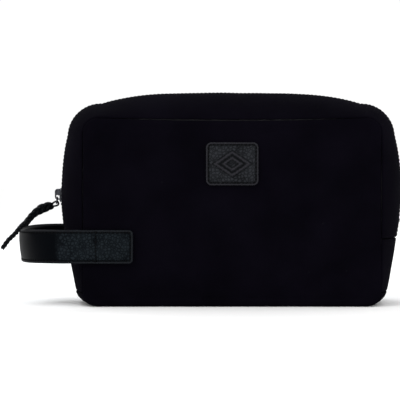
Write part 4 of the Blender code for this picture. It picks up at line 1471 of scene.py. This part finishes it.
EDGE_STEPS = np.array([0, 0.0001, 0.0003, 0.0007, 0.0011, 0.0016, 0.0020, 0.0025, 0.0030])


def leather_finish(name, valley, top, pebble, rim, shine):
    """Pebbled leather: raised cells with dark valleys, paler where the rim mark says: at turned
    edges, and on the patch as a painted highlight on its stamped lines. Painted shade darkens
    the stitch furrows and the sides of the stamped lines. The strap's bend, marked by the
    attribute called smooth, is left without grain and painted dark as shade."""
    finish, tree, shader = new_finish(name, top, 0.5, {"Specular IOR Level": shine})
    where = node(tree, "ShaderNodeTexCoord").outputs["Object"]
    wander = node(tree, "ShaderNodeTexNoise", {"Vector": where, "Scale": 500, "Detail": 2})
    bend = {0: wander.outputs["Color"], "Scale": 0.0009}
    bend = node(tree, "ShaderNodeVectorMath", bend, operation="SCALE").outputs[0]
    bent = node(tree, "ShaderNodeVectorMath", {0: where, 1: bend}, operation="ADD").outputs[0]
    cells = {"Vector": bent, "Scale": 1 / pebble, "Randomness": 0.9}
    cells = node(tree, "ShaderNodeTexVoronoi", cells, feature="DISTANCE_TO_EDGE")
    cells = cells.outputs["Distance"]
    dome = {"Value": cells, "From Max": 0.30}
    dome = node(tree, "ShaderNodeMapRange", dome, interpolation_type="SMOOTHSTEP")
    dome = dome.outputs["Result"]
    pores = noise_of(tree, where, 3200, 3)
    patches = noise_of(tree, where, 110, 4)
    worn = math_of(tree, "MULTIPLY_ADD", patches, 0.9, -0.2)
    # The smooth attribute marks the strap's bend, which loses its grain and is painted dark as shade.
    shaded_smooth = node(tree, "ShaderNodeAttribute", attribute_name="smooth").outputs["Fac"]
    grain = math_of(tree, "SUBTRACT", 1.0, shaded_smooth)
    share = math_of(tree, "MULTIPLY_ADD", dome, 0.75, worn)
    share = math_of(tree, "MULTIPLY", share, grain)
    height = math_of(tree, "MULTIPLY", dome, grain)
    surface = colour_between(tree, share, valley, top)
    # The rim mark makes turned edges paler and carries the stamped lines' painted highlight; the other
    # mark paints shade in the stitch furrows and beside the stamped lines.
    for mark, colour in (("rim", rim), ("furrow_shade", PAINTED_FURROW_SHADE)):
        where_marked = node(tree, "ShaderNodeAttribute", attribute_name=mark).outputs["Fac"]
        marked = node(tree, "ShaderNodeMix", {"Factor": where_marked, 6: surface}, data_type="RGBA")
        marked.inputs[7].default_value = (*colour, 1)
        surface = marked.outputs[2]
    tree.links.new(surface, shader.inputs["Base Color"])
    rough = math_of(tree, "MULTIPLY_ADD", grain, 0.2, 0.38)
    rough = math_of(tree, "MULTIPLY_ADD", patches, 0.15, rough)
    tree.links.new(rough, shader.inputs["Roughness"])
    fine = raise_bump(tree, shader, pores, 0.00006, 0.5)
    raise_bump(tree, shader, height, 0.00018, 0.9, fine)
    return finish


def strap_plan(outward):
    """The strap's line seen from above, front end to back end, and its directions outward."""
    points = []
    for x in np.linspace(STRAP_END_X, STRAP_BEND_X, 30):
        points.append((x, -HALF_DEPTH - PLY_GAP - outward - panel_rise(x, STRAP_MIDDLE_Z)))
    for turn in np.linspace(0, math.pi / 2, 40)[1:]:
        x = STRAP_BEND_X - (STRAP_REACH + outward) * math.sin(turn)
        points.append((x, -(HALF_DEPTH + PLY_GAP + outward) * math.cos(turn)))
    points += [(x, -y) for x, y in points[-2::-1]]
    points = np.array(points)
    line = spaced_evenly(points, 260)
    ahead = unit(np.gradient(line, axis=0))
    return line, np.stack([-ahead[:, 1], ahead[:, 0]], axis=1), lengths_along(points)[-1]


def ridge(distance, width):
    """1 where the distance is 0, fading to 0 over a few times the width."""
    return math.exp(-((distance / width) ** 2))


def strap_point(plan, run, z, lift):
    """A place on the strap: run from its middle, height, and lift off its outer face."""
    line, outs, length = plan
    share = (run / length + 0.5) * (len(line) - 1)
    first = min(max(int(share), 0), len(line) - 2)
    part = share - first
    x, y = line[first] * (1 - part) + line[first + 1] * part
    out = outs[first] * (1 - part) + outs[first + 1] * part
    bent = min(max((STRAP_BEND_X - x) / STRAP_REACH, 0.0), 1.0)
    low, high = BEND_DRAWN_IN
    drawn = (low + (high - low) * (z - STRAP_Z) / STRAP_WIDTH) * bent**0.7
    toward_back = min(max(run / 0.06, 0.0), 1.0)
    raised = BACK_SEWN_HIGHER * toward_back**2 * (3 - 2 * toward_back)
    wave = 0.0004 * math.sin(run * 55) * bent
    return Vector((x + out[0] * lift + drawn, y + out[1] * lift, z + raised + wave)), out


def strap_ply(name, outward, thickness, trim, cad_node):
    """One ply of the strap, its outer face crowned inside the turned and stitched edges."""
    plan = strap_plan(outward)
    half_run = plan[2] / 2 - trim
    half_z = STRAP_WIDTH / 2 - trim
    marks = {"rim": [], "smooth": [], "furrow_shade": []}

    def place(share, z):
        run = share * (half_run - corner_cut(z, half_z, STRAP_CORNER_R))
        edge = inside_rounded(run, z, half_run, half_z, STRAP_CORNER_R)
        crowned = 0.0005 * min(1.0, max(edge - 0.003, 0) / 0.006)
        sewn_in = ridge(edge - STRAP_STITCH_IN, FURROW_WIDTH)
        turned = ridge(edge - 0.0008, RIM_WIDTH)
        past_row = abs(abs(run) - (half_run - STRAP_END_X + STRAP_SEWN_X))
        second_row = ridge(past_row, FURROW_WIDTH) if abs(z) < half_z - 0.001 else 0.0
        lift = crowned + RIM_HEIGHT * turned - FURROW_DEPTH * sewn_in
        lift -= 0.0003 * second_row + rolled(edge, LEATHER_FOLD)
        point, _ = strap_point(plan, run, z + STRAP_MIDDLE_Z, lift)
        marks["rim"].append(turned)
        # Painted shade along the stitch furrows.
        marks["furrow_shade"].append(0.8 * max(sewn_in, second_row))
        # The bend is marked smooth: no grain, and its colour painted dark as shade.
        marks["smooth"].append(min(max((SMOOTH_SHADE_FROM_X - point.x) / 0.004, 0.0), 1.0))
        return point, (run, z)

    rows = np.concatenate([EDGE_STEPS, [0.0036, 0.0050, 0.0070, 0.0095]])
    rows = np.concatenate([rows - half_z, [0.0], (half_z - rows)[::-1]])
    inner_steps = np.linspace(0.0040, half_run * 2 - 0.0040, 200)
    steps = np.concatenate([EDGE_STEPS, inner_steps, (2 * half_run - EDGE_STEPS)[::-1]])
    ply = sew_sheet(name, steps / half_run - 1, rows, place, thickness, strap_leather, **marks)
    settle(ply, "bag", "leather", cad_node)
    return plan


strap_leather = leather_finish(
    "pebbled_strap_leather",
    valley=(0.0006, 0.0010, 0.0018),
    top=(0.0100, 0.0135, 0.0165),
    pebble=0.0023,
    rim=(0.0135, 0.0140, 0.0165),
    shine=0.02,
)
outer_out = INNER_PLY + PLY_GAP + OUTER_PLY
outer_plan = strap_ply("strap_outer_leather", outer_out, OUTER_PLY, 0.0, "handle_outer")
strap_ply("strap_inner_leather", INNER_PLY, INNER_PLY, INNER_TRIM, "handle_inner")

strap_half_run = outer_plan[2] / 2
inset_run = strap_half_run - STRAP_STITCH_IN
inset_z = STRAP_WIDTH / 2 - STRAP_STITCH_IN


def strap_thread_line(corners, lift=0.0):
    """A line on the strap's outer face through (run, height from the middle) corners."""
    line = []
    for (r1, z1), (r2, z2) in zip(corners, corners[1:]):
        count = max(2, round(math.hypot(r2 - r1, z2 - z1) / 0.0012))
        for share in np.linspace(0, 1, count)[: None if (r2, z2) == corners[-1] else -1]:
            run, z = r1 + (r2 - r1) * share, z1 + (z2 - z1) * share
            point, out = strap_point(outer_plan, run, z + STRAP_MIDDLE_Z, lift)
            line.append((point, Vector((out[0], out[1], 0))))
    return line


cut_run, cut_z = inset_run - 0.001, inset_z - 0.001
round_the_strap = [(-cut_run, inset_z), (cut_run, inset_z), (inset_run, cut_z)]
round_the_strap += [(inset_run, -cut_z), (cut_run, -inset_z), (-cut_run, -inset_z)]
round_the_strap += [(-inset_run, -cut_z), (-inset_run, cut_z), (-cut_run, inset_z)]
second_row = strap_half_run - (STRAP_END_X - STRAP_SEWN_X)
strap_rows = [strap_thread_line(round_the_strap, -0.00012)]
for side in (-1, 1):
    ends = [(side * second_row, -inset_z), (side * second_row, inset_z)]
    strap_rows.append(strap_thread_line(ends, 0.00030))
strap_thread = sew("strap_stitching", strap_rows, 0.0030, 0.0020, LEATHER_THREAD_R)
settle(strap_thread, "bag", "leather")


# --- Leather patch -----------------------------------------------------------------------
# A rounded rectangle of grey pebbled leather is stitched to the front, its edge beaded. Its
# face is blind-stamped with a plain device of nested lozenges.
PATCH_WIDTH = 0.039
PATCH_HEIGHT = 0.032
PATCH_THICK = 0.0016
PATCH_CORNER_R = 0.0040
PATCH_STITCH_IN = 0.0019
BEAD_STEPS = np.array([0, 0.0001, 0.0003, 0.0006, 0.0009, 0.0013, 0.0018, 0.0023, 0.0028])


def stamped(x, z):
    """The stamped device at a place on the patch: its height, a painted highlight on its ridges and
    painted shade along their sides.
    """
    lozenge = abs(x) / 0.0125 + abs(z) / 0.0085
    height, ridge_highlight, shade = 0.0, 0.0, 0.0
    for size, line_width in ((1.0, 0.0006), (0.52, 0.0005)):
        distance = abs(lozenge - size) * 0.0070
        height += 0.00030 * ridge(distance, line_width) - 0.00018 * ridge(distance - 0.0011, 0.0006)
        # A painted highlight on each ridge, and painted shade beside it.
        ridge_highlight += ridge(distance, line_width)
        shade += 0.8 * ridge(distance - 0.0013, 0.0005)
    return height, ridge_highlight, shade


patch_marks = {"rim": [], "furrow_shade": []}


def patch_place(x_share, z):
    x = x_share * (PATCH_WIDTH / 2 - corner_cut(z, PATCH_HEIGHT / 2, PATCH_CORNER_R))
    edge = inside_rounded(x, z, PATCH_WIDTH / 2, PATCH_HEIGHT / 2, PATCH_CORNER_R)
    mark, ridge_highlight, shade = stamped(x, z)
    sewn_in = ridge(edge - PATCH_STITCH_IN, FURROW_WIDTH)
    turned = ridge(edge - 0.0007, RIM_WIDTH)
    # The stamped ridges' painted highlight joins the rim mark, and the painted shade beside them joins
    # the stitch furrows' painted shade.
    patch_marks["rim"].append(min(1.0, turned + ridge_highlight))
    patch_marks["furrow_shade"].append(min(1.0, 0.85 * sewn_in + shade))
    bead = 0.00030 * turned - FURROW_DEPTH * sewn_in
    return on_patch(x, z, bead - rolled(edge, LEATHER_FOLD) + mark), (x, z)


def on_patch(x, z, lift):
    height = z + PATCH_CENTRE[1]
    return (x, -HALF_DEPTH - panel_rise(x, height) - PATCH_THICK - PLY_GAP - lift, height)


def patch_steps(length, count):
    """Stations over a length, close together in the beads at its ends."""
    inner = np.linspace(0.0034, length - 0.0034, count)
    return np.concatenate([BEAD_STEPS, inner, (length - BEAD_STEPS)[::-1]]) - length / 2


patch_leather = leather_finish(
    "grey_patch_leather",
    valley=(0.0012, 0.0015, 0.0022),
    top=(0.0190, 0.0205, 0.0240),
    pebble=0.0024,
    rim=(0.0210, 0.0200, 0.0245),
    shine=0.05,
)
patch_columns = patch_steps(PATCH_WIDTH, 96) / (PATCH_WIDTH / 2)
patch_rows = patch_steps(PATCH_HEIGHT, 78)
patch = sew_sheet(
    "stitched_leather_patch",
    patch_columns,
    patch_rows,
    patch_place,
    PATCH_THICK,
    patch_leather,
    **patch_marks,
)
settle(patch, "bag", "leather", "leather_patch")

patch_line = []
inset_x = PATCH_WIDTH / 2 - PATCH_STITCH_IN
inset_h = PATCH_HEIGHT / 2 - PATCH_STITCH_IN
corner_r = PATCH_CORNER_R - PATCH_STITCH_IN
for corner, (sx, sz) in enumerate(((1, 1), (-1, 1), (-1, -1), (1, -1), (1, 1))):
    last = 1 if corner == 4 else 7
    for turn in (np.linspace(0, 1, 7)[:last] + corner) * math.pi / 2:
        x = sx * (inset_x - corner_r) + corner_r * math.cos(turn)
        z = sz * (inset_h - corner_r) + corner_r * math.sin(turn)
        patch_line.append(on_patch(x, z, -0.00012))
patch_line = spaced_evenly(np.array(patch_line), 120)
patch_line = [(Vector(point), Vector((0, -1, 0))) for point in patch_line]
patch_thread = sew("patch_stitching", [patch_line], 0.0029, 0.0019, LEATHER_THREAD_R)
settle(patch_thread, "bag", "leather")
